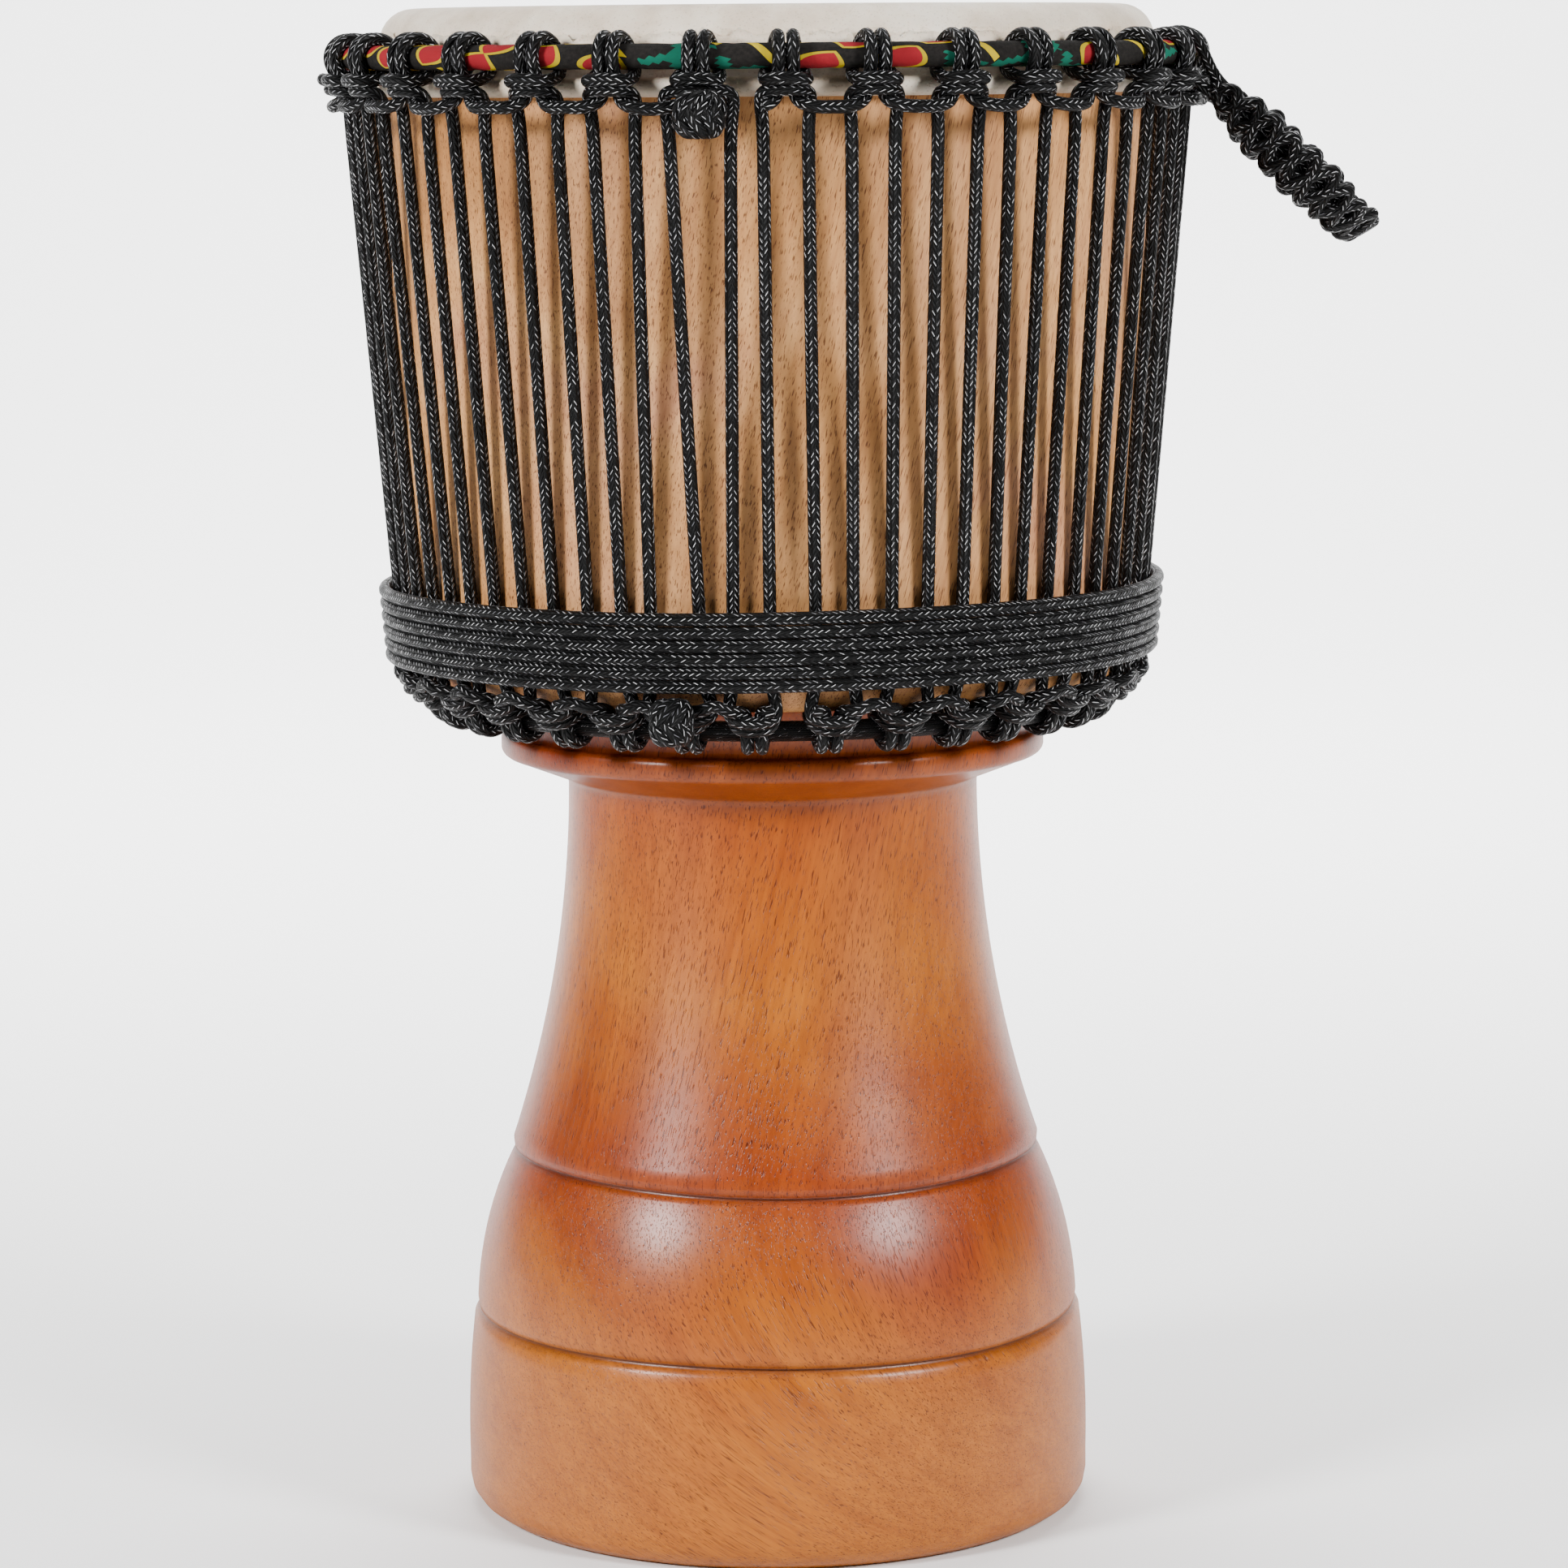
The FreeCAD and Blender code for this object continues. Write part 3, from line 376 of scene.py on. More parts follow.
def welded_steel():
    """Round steel bar, drawn and left as it comes from the mill: dull grey, fine scratches
    along the bar."""
    material, tree, shader = new_material("drawn_steel")
    place = add(tree, "ShaderNodeTexCoord").outputs["Object"]
    drawn = add(tree, "ShaderNodeTexNoise", {"Vector": place, "Scale": 300.0, "Detail": 3.0})
    base = add(tree, "ShaderNodeValToRGB", {0: drawn.outputs[0]},
               ramp=[(0.3, "6d6f72"), (0.7, "8b8d90")]).outputs[0]
    tree.links.new(base, shader.inputs["Base Color"])
    tree.links.new(math_node(tree, "MULTIPLY_ADD", drawn.outputs[0], 0.3, 0.25),
                   shader.inputs["Roughness"])
    shader.inputs["Metallic"].default_value = 1.0
    return material


# ---------------------------------------------------------------- mesh helpers

def finish_piece(name, source, material, body, replaced):
    """Make a mesh into a shown piece that stands for its CAD nodes."""
    if isinstance(source, bmesh.types.BMesh):
        mesh = bpy.data.meshes.new(name)
        source.to_mesh(mesh)
        source.free()
    else:
        mesh = source
        mesh.name = name
    mesh.materials.clear()
    mesh.materials.append(material)
    for face in mesh.polygons:
        face.use_smooth = True
    piece = bpy.data.objects.new(name, mesh)
    bpy.context.scene.collection.objects.link(piece)
    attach(piece, body)
    if replaced:
        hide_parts(*replaced)
    return piece


def at_azimuth(radius, azimuth, height):
    """Point in millimetres from its radius, azimuth from the front, and height."""
    return Vector((radius * math.sin(azimuth), -radius * math.cos(azimuth), height))


def arc_points(start, end, radius, bulge, steps):
    """Points after start on the arc to end; bulge +1 keeps its centre left of the way."""
    chord = end - start
    rise = math.sqrt(max(radius ** 2 - (chord.length / 2) ** 2, 0.0))
    centre = (start + end) / 2 + Vector((-chord.y, chord.x)) / chord.length * rise * bulge
    first = math.atan2(start.y - centre.y, start.x - centre.x)
    last = math.atan2(end.y - centre.y, end.x - centre.x)
    turn = (last - first) % (2 * math.pi)
    if bulge < 0:
        turn -= 2 * math.pi
    return [centre + radius * Vector((math.cos(first + turn * step / steps),
                                      math.sin(first + turn * step / steps)))
            for step in range(1, steps + 1)]


def turned_outline(corners, spacing):
    """Outline points from corners (radius, height, edge), no two further than spacing
    apart; edge None is straight, (radius, bulge) is an arc."""
    points = []
    for index, (x, y, edge) in enumerate(corners):
        start = Vector((x, y))
        following = corners[(index + 1) % len(corners)]
        end = Vector((following[0], following[1]))
        steps = max(1, int((end - start).length / spacing))
        if edge is None:
            points += [start.lerp(end, step / steps) for step in range(1, steps + 1)]
        else:
            points += arc_points(start, end, edge[0], edge[1], max(steps, 4))
    return points


def spin_outline(points, steps, closed=True):
    """Spin an outline of (radius, height) about the drum's axis, outwards facing."""
    form = bmesh.new()
    corners = [form.verts.new((point.x * MM, 0.0, point.y * MM)) for point in points]
    sides = [form.edges.new(pair) for pair in zip(corners, corners[1:])]
    if closed:
        sides.append(form.edges.new((corners[-1], corners[0])))
    bmesh.ops.spin(form, geom=corners + sides, cent=(0, 0, 0), axis=(0, 0, 1),
                   angle=2 * math.pi, steps=steps, use_merge=True)
    bmesh.ops.remove_doubles(form, verts=form.verts, dist=1e-6)
    bmesh.ops.recalc_face_normals(form, faces=form.faces)
    return form


def polar(place):
    """Radius and azimuth of a point, in metres and radians."""
    return math.hypot(place.x, place.y), math.atan2(place.x, -place.y)


# ---------------------------------------------------------------- cords

def spline_mesh(route, scale, closed, resolution, radius=0.0, sides=0):
    """Mesh of the smooth line through a route, or of a round bar along it."""
    curve = bpy.data.curves.new("route", "CURVE")
    curve.dimensions = "3D"
    spline = curve.splines.new("NURBS")
    spline.points.add(len(route) - 1)
    for point, place in zip(spline.points, route):
        point.co = (*(place * scale), 1.0)
    spline.use_cyclic_u = closed
    spline.order_u = 3
    spline.use_endpoint_u = not closed
    spline.resolution_u = resolution
    curve.resolution_u = resolution
    curve.bevel_depth = radius
    curve.bevel_resolution = sides
    curve.use_fill_caps = not closed
    carrier = bpy.data.objects.new("route", curve)
    bpy.context.scene.collection.objects.link(carrier)
    graph = bpy.context.evaluated_depsgraph_get()
    graph.update()
    mesh = bpy.data.meshes.new_from_object(carrier.evaluated_get(graph),
                                           preserve_all_data_layers=True, depsgraph=graph)
    bpy.data.objects.remove(carrier)
    bpy.data.curves.remove(curve)
    return mesh


def curve_mesh(route, diameter, closed=False, rings=5, sides=4):
    """Smooth round cord along a route in millimetres, as a mesh with its own UV: turns
    round the cord and millimetres along it."""
    mesh = spline_mesh(route, MM, closed, rings, diameter / 2 * MM, sides)
    measure_along(mesh, 4 + 2 * sides, closed)
    return mesh


def measure_along(mesh, around, closed):
    """Write the UV: turns round the cord across, millimetres along it upwards."""
    start = 0 if closed else 2 * around
    places = [vertex.co for vertex in mesh.vertices]
    rings = (len(places) - start) // around
    centres = []
    for ring in range(rings):
        group = places[start + ring * around:start + (ring + 1) * around]
        centres.append(sum(group, Vector()) / around)
    along = [0.0]
    for before, after in zip(centres, centres[1:]):
        along.append(along[-1] + (after - before).length / MM)
    whole = along[-1] + (centres[0] - centres[-1]).length / MM
    layer = mesh.uv_layers[0].data
    for face in mesh.polygons:
        numbers = [(mesh.loops[loop].vertex_index - start) // around
                   for loop in face.loop_indices]
        wraps = closed and max(numbers) - min(numbers) > 1
        for loop, ring in zip(face.loop_indices, numbers):
            if mesh.loops[loop].vertex_index < start:
                length = 0.0
            elif wraps and ring == 0:
                length = whole
            else:
                length = along[ring]
            layer[loop].uv = (layer[loop].uv[1], length)


class Ring:
    """A ring with a cradle on it: along is the way round, out leaves the ring towards
    the player and away leads from the ring to the cradle's scallops."""

    def __init__(self, core_node, cover_node, out, away):
        core_low, core_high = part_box(core_node)
        low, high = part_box(cover_node)
        self.thickness = (high.z - low.z) / 2 / MM
        self.radius = (core_high.x - (core_high.z - core_low.z) / 2) / MM
        self.height = (high.z + low.z) / 2 / MM
        self.wrap = (self.thickness + ROPE / 2 + ROPE_GAP) * OCTAGON
        self.out = out
        self.away = away

    def point(self, azimuth, along, out, away):
        """Point beside the ring, at a true distance along from the azimuth."""
        radius = self.radius + out * self.out[0] + away * self.away[0]
        height = self.height + out * self.out[1] + away * self.away[1]
        return at_azimuth(radius, azimuth + along / radius, height)


TOP = Ring("crown_ring", "crown_ring_cloth", (1.0, 0.0), (0.0, -1.0))
BOTTOM = Ring("bottom_ring", "bottom_ring_sleeve",
              (math.cos(BOTTOM_TILT), -math.sin(BOTTOM_TILT)),
              (math.sin(BOTTOM_TILT), math.cos(BOTTOM_TILT)))


def hitch_azimuth(index):
    """Azimuth of a hitch on the crown ring; no two are spaced quite alike."""
    return FIRST_HITCH + PITCH * index + TOP_WANDER[index % LOOPS]


def bottom_hitch_azimuth(index):
    """The bottom hitches stand half a space on, moved by the rope's drift."""
    return FIRST_HITCH + PITCH * (index + 0.5) + ROPE_DRIFT + BOTTOM_WANDER[index % LOOPS]


def hitch_wander(seed):
    """Small turns, in radians, that hand tying leaves between hitches."""
    draw = random.Random(seed)
    return [math.radians(draw.uniform(-0.55, 0.55)) for loop in range(LOOPS)]


TOP_WANDER = hitch_wander(11)
BOTTOM_WANDER = hitch_wander(23)


def half_hitch(ring, bar_out, scallop):
    """Right half of a cow hitch as (along, out, away): bar, round the back of the ring,
    over the front, behind the bar and out to the scallop's shoulder."""
    wrap = ring.wrap
    slant = wrap * math.sqrt(0.5)
    lead = [(along * ROPE, out * ROPE, wrap + away * ROPE)
            for along, out, away in scallop[:-1]]
    return [
        (0.92 * ROPE, wrap + bar_out * ROPE, wrap + 0.04 * ROPE),
        (1.50 * ROPE, wrap - 0.14 * ROPE, wrap + 0.20 * ROPE),
        (1.58 * ROPE, 0.10 * ROPE, wrap + 0.02 * ROPE),
        (1.36 * ROPE, -slant, slant),
        (0.98 * ROPE, -wrap, 0.0),
        (0.70 * ROPE, -slant, -slant),
        (0.54 * ROPE, 0.0, -wrap),
        (0.54 * ROPE, slant, -slant),
        (0.54 * ROPE, wrap, 0.0),
        (0.54 * ROPE, slant, slant),
    ] + lead


def cradle_route(ring, azimuth_of, bar_out, scallop, seed):
    """Cradle cord: one cow hitch and one scallop per loop, all round the ring."""
    draw = random.Random(seed)
    right = half_hitch(ring, bar_out, scallop)
    left = [(-along, out, away) for along, out, away in reversed(right)]
    route = []
    for index in range(LOOPS):
        here = azimuth_of(index)
        following = azimuth_of(index + 1)
        if index == LOOPS - 1:
            following += 2 * math.pi
        route += [ring.point(here, *place) for place in left + right]
        sag = draw.uniform(-0.8, 0.6)
        route.append(ring.point((here + following) / 2, 0.0, scallop[-1][1] * ROPE,
                                ring.wrap + scallop[-1][2] * ROPE + sag))
    return route


def top_bight(ring, azimuth, spread):
    """Tension rope over one top hitch: up behind the scallop, across and down again."""
    reach = ring.wrap
    right = [
        (0.72 * ROPE, 1.52 * ROPE, reach + 0.82 * ROPE),
        (1.76 * ROPE * spread, 0.48 * ROPE, reach + 0.98 * ROPE),
        (1.84 * ROPE * spread, 0.0, reach + 1.90 * ROPE),
        (1.64 * ROPE * spread, -0.08 * ROPE, reach + 3.40 * ROPE),
    ]
    left = [(-along, out, away) for along, out, away in reversed(right)]
    return [ring.point(azimuth, *place) for place in left + right]


def at_bowl_side(azimuth, along):
    """Point of a run where it leaves the bowl's lower curve, under the reserve turns."""
    return at_azimuth(RUN_RADIUS, azimuth + along / RUN_RADIUS, BOWL_BOTTOM + BOWL_EDGE_HEIGHT)


def bottom_bight(ring, azimuth, spread):
    """Tension rope under one bottom hitch, its legs lying on the bowl."""
    reach = ring.wrap
    right = [
        (0.72 * ROPE, 2.37 * ROPE, reach + 0.96 * ROPE),
        (1.72 * ROPE * spread, 1.83 * ROPE, reach + 1.04 * ROPE),
        (1.80 * ROPE * spread, 1.50 * ROPE, reach + 1.91 * ROPE),
    ]
    left = [(-along, out, away) for along, out, away in reversed(right)]
    turns = [ring.point(azimuth, *place) for place in left + right]
    return ([at_bowl_side(azimuth, -1.40 * ROPE * spread)] + turns
            + [at_bowl_side(azimuth, 1.40 * ROPE * spread)])


def long_run(start, end):
    """The two points that keep a tight run straight between its turns."""
    return [start.lerp(end, 0.12), start.lerp(end, 0.88)]


def rope_end(side):
    """End of the tension rope inside its knot, on one side of the last hitch."""
    return BOTTOM.point(bottom_hitch_azimuth(ROPE_END_HITCH), 0.5 * ROPE * side,
                        BOTTOM.wrap + 1.9 * ROPE, BOTTOM.wrap + 1.6 * ROPE)


def tension_route():
    """The whole tension rope, from its knot at the back round to the same knot."""
    first = bottom_bight(BOTTOM, bottom_hitch_azimuth(ROPE_END_HITCH), 1.0)
    middle = len(first) // 2
    route = [rope_end(1)] + first[middle:]
    for step in range(1, LOOPS + 1):
        index = ROPE_END_HITCH + step
        wide = KNOT_SPREAD if index % LOOPS == TOP_KNOT_HITCH else 1.0
        over = top_bight(TOP, hitch_azimuth(index), wide)
        route += long_run(route[-1], over[0]) + over
        wide = KNOT_SPREAD if index % LOOPS == BOTTOM_KNOT_HITCH else 1.0
        under = first[:middle]
        if step < LOOPS:
            under = bottom_bight(BOTTOM, bottom_hitch_azimuth(index), wide)
        route += long_run(route[-1], under[0]) + under
    return route + [rope_end(-1)]


def reserve_route():
    """Spare rope: it comes up out of the rope's knot and winds round the runs; wound by
    hand, so its turns wander a little up and down together."""
    lift = (ROPE + ROPE_GAP) / WINDING_STEPS
    flare = RESERVE_FLARE / WINDING_STEPS
    radius = RUN_RADIUS + ROPE + RESERVE_SLACK
    start = bottom_hitch_azimuth(ROPE_END_HITCH)
    bottom = BOWL_BOTTOM + 1.8 * ROPE
    turn = 2 * math.pi / WINDING_STEPS
    route = [at_azimuth(radius + 0.75 * ROPE, start, bottom - 1.6 * ROPE),
             at_azimuth(radius + 0.62 * ROPE, start + 0.6 * turn, bottom - 0.7 * ROPE)]
    for step in range(RESERVE_TURNS * WINDING_STEPS - 3):
        azimuth = start + (step + 1.6) * turn
        wander = 0.35 * math.sin(2 * azimuth + 1.0) + 0.2 * math.sin(5 * azimuth)
        route.append(at_azimuth(radius + flare * step, azimuth,
                                bottom + lift * step + wander))
    return route


def knot_route(centre, radius, squash, turns, waves, phase):
    """Cord drawn up into a ball: it circles the ball while it weaves up and down."""
    route = []
    steps = turns * 14
    for step in range(steps):
        angle = 2 * math.pi * turns * step / steps
        tip = 1.05 * math.sin(waves * angle / turns + phase)
        depth = radius - 0.5 * ROPE + 0.28 * ROPE * math.cos(2 * waves * angle / turns)
        route.append(centre + Vector((depth * math.cos(tip) * math.cos(angle),
                                      depth * math.cos(tip) * math.sin(angle),
                                      squash * depth * math.sin(tip))))
    return route


def make_ropes(braid):
    """Both cradle cords, the tension rope and its reserve turns."""
    top = cradle_route(TOP, hitch_azimuth, TOP_BAR_OUT, TOP_SCALLOP, 5)
    finish_piece("top_cradle_rope", curve_mesh(top, ROPE, True, 4), braid, "drum",
                 ["top_cradle_cord"])
    bottom = cradle_route(BOTTOM, bottom_hitch_azimuth, BOTTOM_BAR_OUT, BOTTOM_SCALLOP, 6)
    finish_piece("bottom_cradle_rope", curve_mesh(bottom, ROPE, True, 4), braid, "drum",
                 ["bottom_cradle_cord"])
    finish_piece("tension_rope_runs", curve_mesh(tension_route(), ROPE, False, 5), braid,
                 "drum", ["tension_rope"])
    finish_piece("reserve_windings", curve_mesh(reserve_route(), ROPE, False, 6), braid,
                 "drum", ["reserve_turns"])


def make_knot(name, place, radius, squash, phase, braid, node):
    """One end knot, its place given as (ring, azimuth, along, out, away) from the wrap."""
    ring, azimuth, along, out, away = place
    centre = ring.point(azimuth, along, ring.wrap + out, ring.wrap + away)
    route = knot_route(centre, radius, squash, 7, 9, phase)
    finish_piece(name, curve_mesh(route, ROPE, True), braid, "drum", [node])


def make_knots(braid):
    """End knots of the two cradle cords in front, and of the tension rope behind."""
    top = (TOP, hitch_azimuth(TOP_KNOT_HITCH), 0.5 * ROPE, KNOT_RADIUS - 0.6 * ROPE, 2.6 * ROPE)
    make_knot("top_cradle_end_knot", top, KNOT_RADIUS, 1.2, 0.3, braid,
              "top_cradle_knot")
    low = (BOTTOM, bottom_hitch_azimuth(BOTTOM_KNOT_HITCH), 0.0, KNOT_RADIUS + 0.8 * ROPE,
           2.2 * ROPE)
    make_knot("bottom_cradle_end_knot", low, KNOT_RADIUS, 0.95, 1.1, braid,
              "bottom_cradle_knot")
    back = (BOTTOM, bottom_hitch_azimuth(ROPE_END_HITCH), 0.0, KNOT_RADIUS + 0.6 * ROPE,
            2.2 * ROPE)
    make_knot("tension_rope_end_knot", back, 0.9 * KNOT_RADIUS, 0.95, 2.0, braid,
              "tension_rope_knot")


# ---------------------------------------------------------------- turned pieces

def shell_corners():
    """Goblet outline: bowl, collar, waist, two carved grooves, foot, then the bore."""
    edge = BOWL_RADIUS - 15.5
    collar_foot = COLLAR_TOP - 10.0
    upper, lower = GROOVES
    return [
        (BOWL_RADIUS - EDGE_ROUND, CREST, (EDGE_ROUND, -1)),
        (BOWL_RADIUS, CREST - EDGE_ROUND, None),
        (BOWL_SIDE, BOWL_BOTTOM + 36, (160, -1)),
        (BOWL_SIDE - BOWL_EDGE_STEP, BOWL_BOTTOM + BOWL_EDGE_HEIGHT, (15, -1)),
        (edge, BOWL_BOTTOM, None),
        (edge - 3, BOWL_BOTTOM + 2.4, None),
        (COLLAR_RADIUS + 10.5, BOWL_BOTTOM + 2.4, (24, 1)),
        (COLLAR_RADIUS - 3.5, COLLAR_TOP + 2, None),
        (COLLAR_RADIUS - 3, COLLAR_TOP, (3, -1)),
        (COLLAR_RADIUS, COLLAR_TOP - 3, None),
        (COLLAR_RADIUS, collar_foot + 3, (3.5, -1)),
        (COLLAR_RADIUS - 3, collar_foot, None),
        (WAIST_RADIUS + 3, collar_foot - 8, (4, 1)),
        (WAIST_RADIUS, collar_foot - 12, (460, 1)),
        (upper[1] + 0.8, upper[0] + 4.0, None),
        (upper[1] + 0.5, upper[0] + 1.2, None),
        (upper[1] - 1.5, upper[0], None),
        (upper[1] + 0.6, upper[0] - 1.0, None),
        (upper[1] + 1.7, upper[0] - 3.0, (150, -1)),
        (lower[1] + 1.0, lower[0] + 4.0, None),
        (lower[1] + 0.6, lower[0] + 1.2, None),
        (lower[1] - 1.6, lower[0], None),
        (lower[1] + 1.0, lower[0] - 1.0, None),
        (lower[1] + 2.4, lower[0] - 3.5, (420, -1)),
        (FOOT_RADIUS, 20, None),
        (FOOT_RADIUS, 12, (12, -1)),
        (FOOT_RADIUS - 12, 0, None),
        (FOOT_RADIUS - 22, 0, None),
        (FOOT_RADIUS - 24, 3, (900, -1)),
        (THROAT_RADIUS, collar_foot - 60, None),
        (THROAT_RADIUS, collar_foot, (60, -1)),
        (THROAT_RADIUS + 34, BOWL_BOTTOM + 8, (90, 1)),
        (BOWL_SIDE - BOWL_WALL, BOWL_BOTTOM + 80, None),
        (BOWL_RADIUS - BOWL_WALL, CREST - 12, None),
    ]


def make_shell(wood):
    """Carved goblet; the two grooves dip at the front, as a knife leaves them."""
    form = spin_outline(turned_outline(shell_corners(), 5.0), 160)
    # marks the creases of the carved grooves, for painted shade in the wood's colour
    depth = form.verts.layers.float.new("groove_painted_shade")
    for corner in form.verts:
        radius, azimuth = polar(corner.co)
        height = corner.co.z / MM
        if radius / MM < 100 or height > 300:
            continue
        corner[depth] = max(math.exp(-((height - level) / 0.9) ** 2) for level, girth in GROOVES)
        for level, girth in GROOVES:
            near = math.exp(-((height - level) / 16.0) ** 2)
            dip = 1.6 * math.cos(azimuth) + 0.7 * math.sin(3 * azimuth + level)
            corner.co.z -= dip * near * MM
    bmesh.ops.recalc_face_normals(form, faces=form.faces)
    finish_piece("carved_shell", form, wood, "drum", ["shell"])


def make_head(skin_material):
    """Skin over the edge, round the flesh hoop and back up to a ragged trimmed edge."""
    inner = BOWL_RADIUS + ROPE_GAP
    single = inner + SKIN
    double = single + SKIN + 0.1
    under = HEIGHT - SKIN
    roll = HOOP_RADIUS + SKIN + ROPE_GAP
    hoop = HEIGHT - HOOP_DROP
    meet = hoop + math.sqrt(roll ** 2 - (double - inner - roll) ** 2)
    trim = HEIGHT - TRIM_DROP
    flat = BOWL_RADIUS - EDGE_ROUND
    shoulder = under - EDGE_ROUND
    corners = [
        (HEAD_CENTRE, under, None),
        (flat, under, (EDGE_ROUND + 0.1, -1)),
        (inner, shoulder, None),
        (inner, hoop, (roll, 1)),
        (inner + roll, hoop - roll, (roll, 1)),
        (inner + 2 * roll, hoop, (roll, 1)),
        (double, meet, None),
        (double, trim, None),
        (single, trim, None),
        (single, shoulder, (EDGE_ROUND + 0.1 + SKIN, 1)),
        (flat, HEIGHT, None),
        (HEAD_CENTRE, HEIGHT, None),
    ]
    outline = turned_outline(corners, 2.6)
    form = spin_outline(outline[-1:] + outline[:-1], 288, closed=False)
    rims = [side for side in form.edges if side.is_boundary]
    bmesh.ops.holes_fill(form, edges=rims)
    for corner in form.verts:
        radius, azimuth = polar(corner.co)
        height = corner.co.z / MM
        outer = radius / MM > double - 0.3
        if outer and height > trim - 6:
            rag = noise.noise(Vector((azimuth * 24, 3.0, 0.0)))
            rag += 0.7 * noise.noise(Vector((azimuth * 62, 8.0, 0.0)))
            free = (height - trim + 6) / 6
            curl = 1.3 * max(0.0, noise.noise(Vector((azimuth * 40, 5.0, 0.0)))) * free ** 2
            corner.co.x += curl * MM * math.sin(azimuth)
            corner.co.y -= curl * MM * math.cos(azimuth)
            corner.co.z += (1.6 + 4.2 * rag) * MM * free
        if outer and height < shoulder:
            crease = noise.noise(Vector((azimuth * 22, height * 0.12, 0.0)))
            corner.co.x += 0.5 * crease * MM * math.sin(azimuth)
            corner.co.y -= 0.5 * crease * MM * math.cos(azimuth)
    bmesh.ops.recalc_face_normals(form, faces=form.faces)
    finish_piece("goatskin_head", form, skin_material, "drum", ["drum_head"])


def make_ring_cover(name, ring, material, node, folds):
    """Tube of cloth or braid on a ring, with a UV in millimetres round and along it."""
    steps = 360
    sides = 20
    outline = [Vector((ring.radius + ring.thickness * math.cos(2 * math.pi * side / sides),
                       ring.height + ring.thickness * math.sin(2 * math.pi * side / sides)))
               for side in range(sides)]
    form = spin_outline(outline, steps)
    layer = form.loops.layers.uv.new("UVMap")
    girth = 2 * math.pi * ring.thickness
    for face in form.faces:
        middle_radius, middle_azimuth = polar(face.calc_center_median())
        middle_turn = math.atan2(face.calc_center_median().z - ring.height * MM,
                                 middle_radius - ring.radius * MM)
        for loop in face.loops:
            radius, azimuth = polar(loop.vert.co)
            turn = math.atan2(loop.vert.co.z - ring.height * MM, radius - ring.radius * MM)
            azimuth += 2 * math.pi * round((middle_azimuth - azimuth) / (2 * math.pi))
            turn += 2 * math.pi * round((middle_turn - turn) / (2 * math.pi))
            if folds:
                loop[layer].uv = (turn / (2 * math.pi) * girth, azimuth * ring.radius)
            else:
                loop[layer].uv = (turn / (2 * math.pi), azimuth * ring.radius)
    for corner in form.verts:
        radius, azimuth = polar(corner.co)
        turn = math.atan2(corner.co.z - ring.height * MM, radius - ring.radius * MM)
        lap = math.sin(azimuth * folds - turn) if folds else 0.0
        fold = -0.25 * max(0.0, lap) ** 6 * MM
        corner.co.x += fold * math.cos(turn) * math.sin(azimuth)
        corner.co.y -= fold * math.cos(turn) * math.cos(azimuth)
        corner.co.z += fold * math.sin(turn)
    finish_piece(name, form, material, "drum", [node])


# ---------------------------------------------------------------- carrying handle

class Handle:
    """Loop of doubled cord hung on the crown ring in two gaps between hitches. Its
    swing axis is the chord through the ring's centre at those two gaps."""

    def __init__(self):
        first = FIRST_HITCH + PITCH * (HANDLE_FIRST_GAP + 0.5)
        last = first + PITCH * HANDLE_GAPS_APART
        middle = (first + last) / 2
        chord = TOP.radius * math.cos((last - first) / 2)
        self.half_span = TOP.radius * math.sin((last - first) / 2)
        self.axis = Vector((math.cos(middle), math.sin(middle), 0))
        self.outward = Vector((math.sin(middle), -math.cos(middle), 0))
        self.origin = at_azimuth(chord, middle, TOP.height)
        up = Vector((0, 0, 1))
        self.along = self.outward * math.cos(HANDLE_DROOP) - up * math.sin(HANDLE_DROOP)
        self.across = self.outward * math.sin(HANDLE_DROOP) + up * math.cos(HANDLE_DROOP)

    def point(self, side, along, across):
        """Point from its place along the axis, down the droop and above the loop."""
        return self.origin + self.axis * side + self.along * along + self.across * across

    def strand(self, lift):
        """One strand of the loop, root to root."""
        reach = HANDLE_REACH * math.sqrt(2)
        span = self.half_span
        first = [
            (-span, 0.17 * reach, 0.9 * lift),
            (-span - 2, 0.28 * reach, lift),
            (-span - 3, 0.48 * reach, lift),
            (-span - 1, 0.64 * reach, lift),
            (-span + 5, 0.80 * reach, lift),
            (-span + 17, 0.94 * reach, lift),
        ]
        second = [(-side, along, across) for side, along, across in reversed(first)]
        return first + [(0.0, reach, lift)] + second


def root_turn(side):
    """Half turn of the core cord round the back of the ring, top to underside."""
    wrap = (TOP.thickness + ROPE / 2 + HANDLE_RING_CLEARANCE) * OCTAGON
    long_side = wrap * math.cos(math.radians(22.5))
    short_side = wrap * math.sin(math.radians(22.5))
    return [
        (side, short_side, long_side),
        (side, -short_side, long_side),
        (side, -long_side, short_side),
        (side, -long_side, -short_side),
        (side, -short_side, -long_side),
        (side, short_side, -long_side),
    ]


def make_handle(braid):
    """Doubled core cord and four strands braided round it, root to root."""
    handle = Handle()
    upper = handle.strand(ROPE / 2)
    lower = [(side, along, across) for side, along, across in reversed(handle.strand(-ROPE / 2))]
    loop = upper + root_turn(handle.half_span) + lower + root_turn(-handle.half_span)[::-1]
    core = [handle.point(*place) for place in loop]
    finish_piece("handle_core_rope", curve_mesh(core, ROPE, True, 8), braid, "carry_handle",
                 ["handle_core_cord"])
    make_handle_braid(handle, braid)


def centre_line(route):
    """Points of the smooth line that a route's spline follows, in millimetres."""
    mesh = spline_mesh(route, 1.0, False, 24)
    points = [vertex.co.copy() for vertex in mesh.vertices]
    bpy.data.meshes.remove(mesh)
    return points


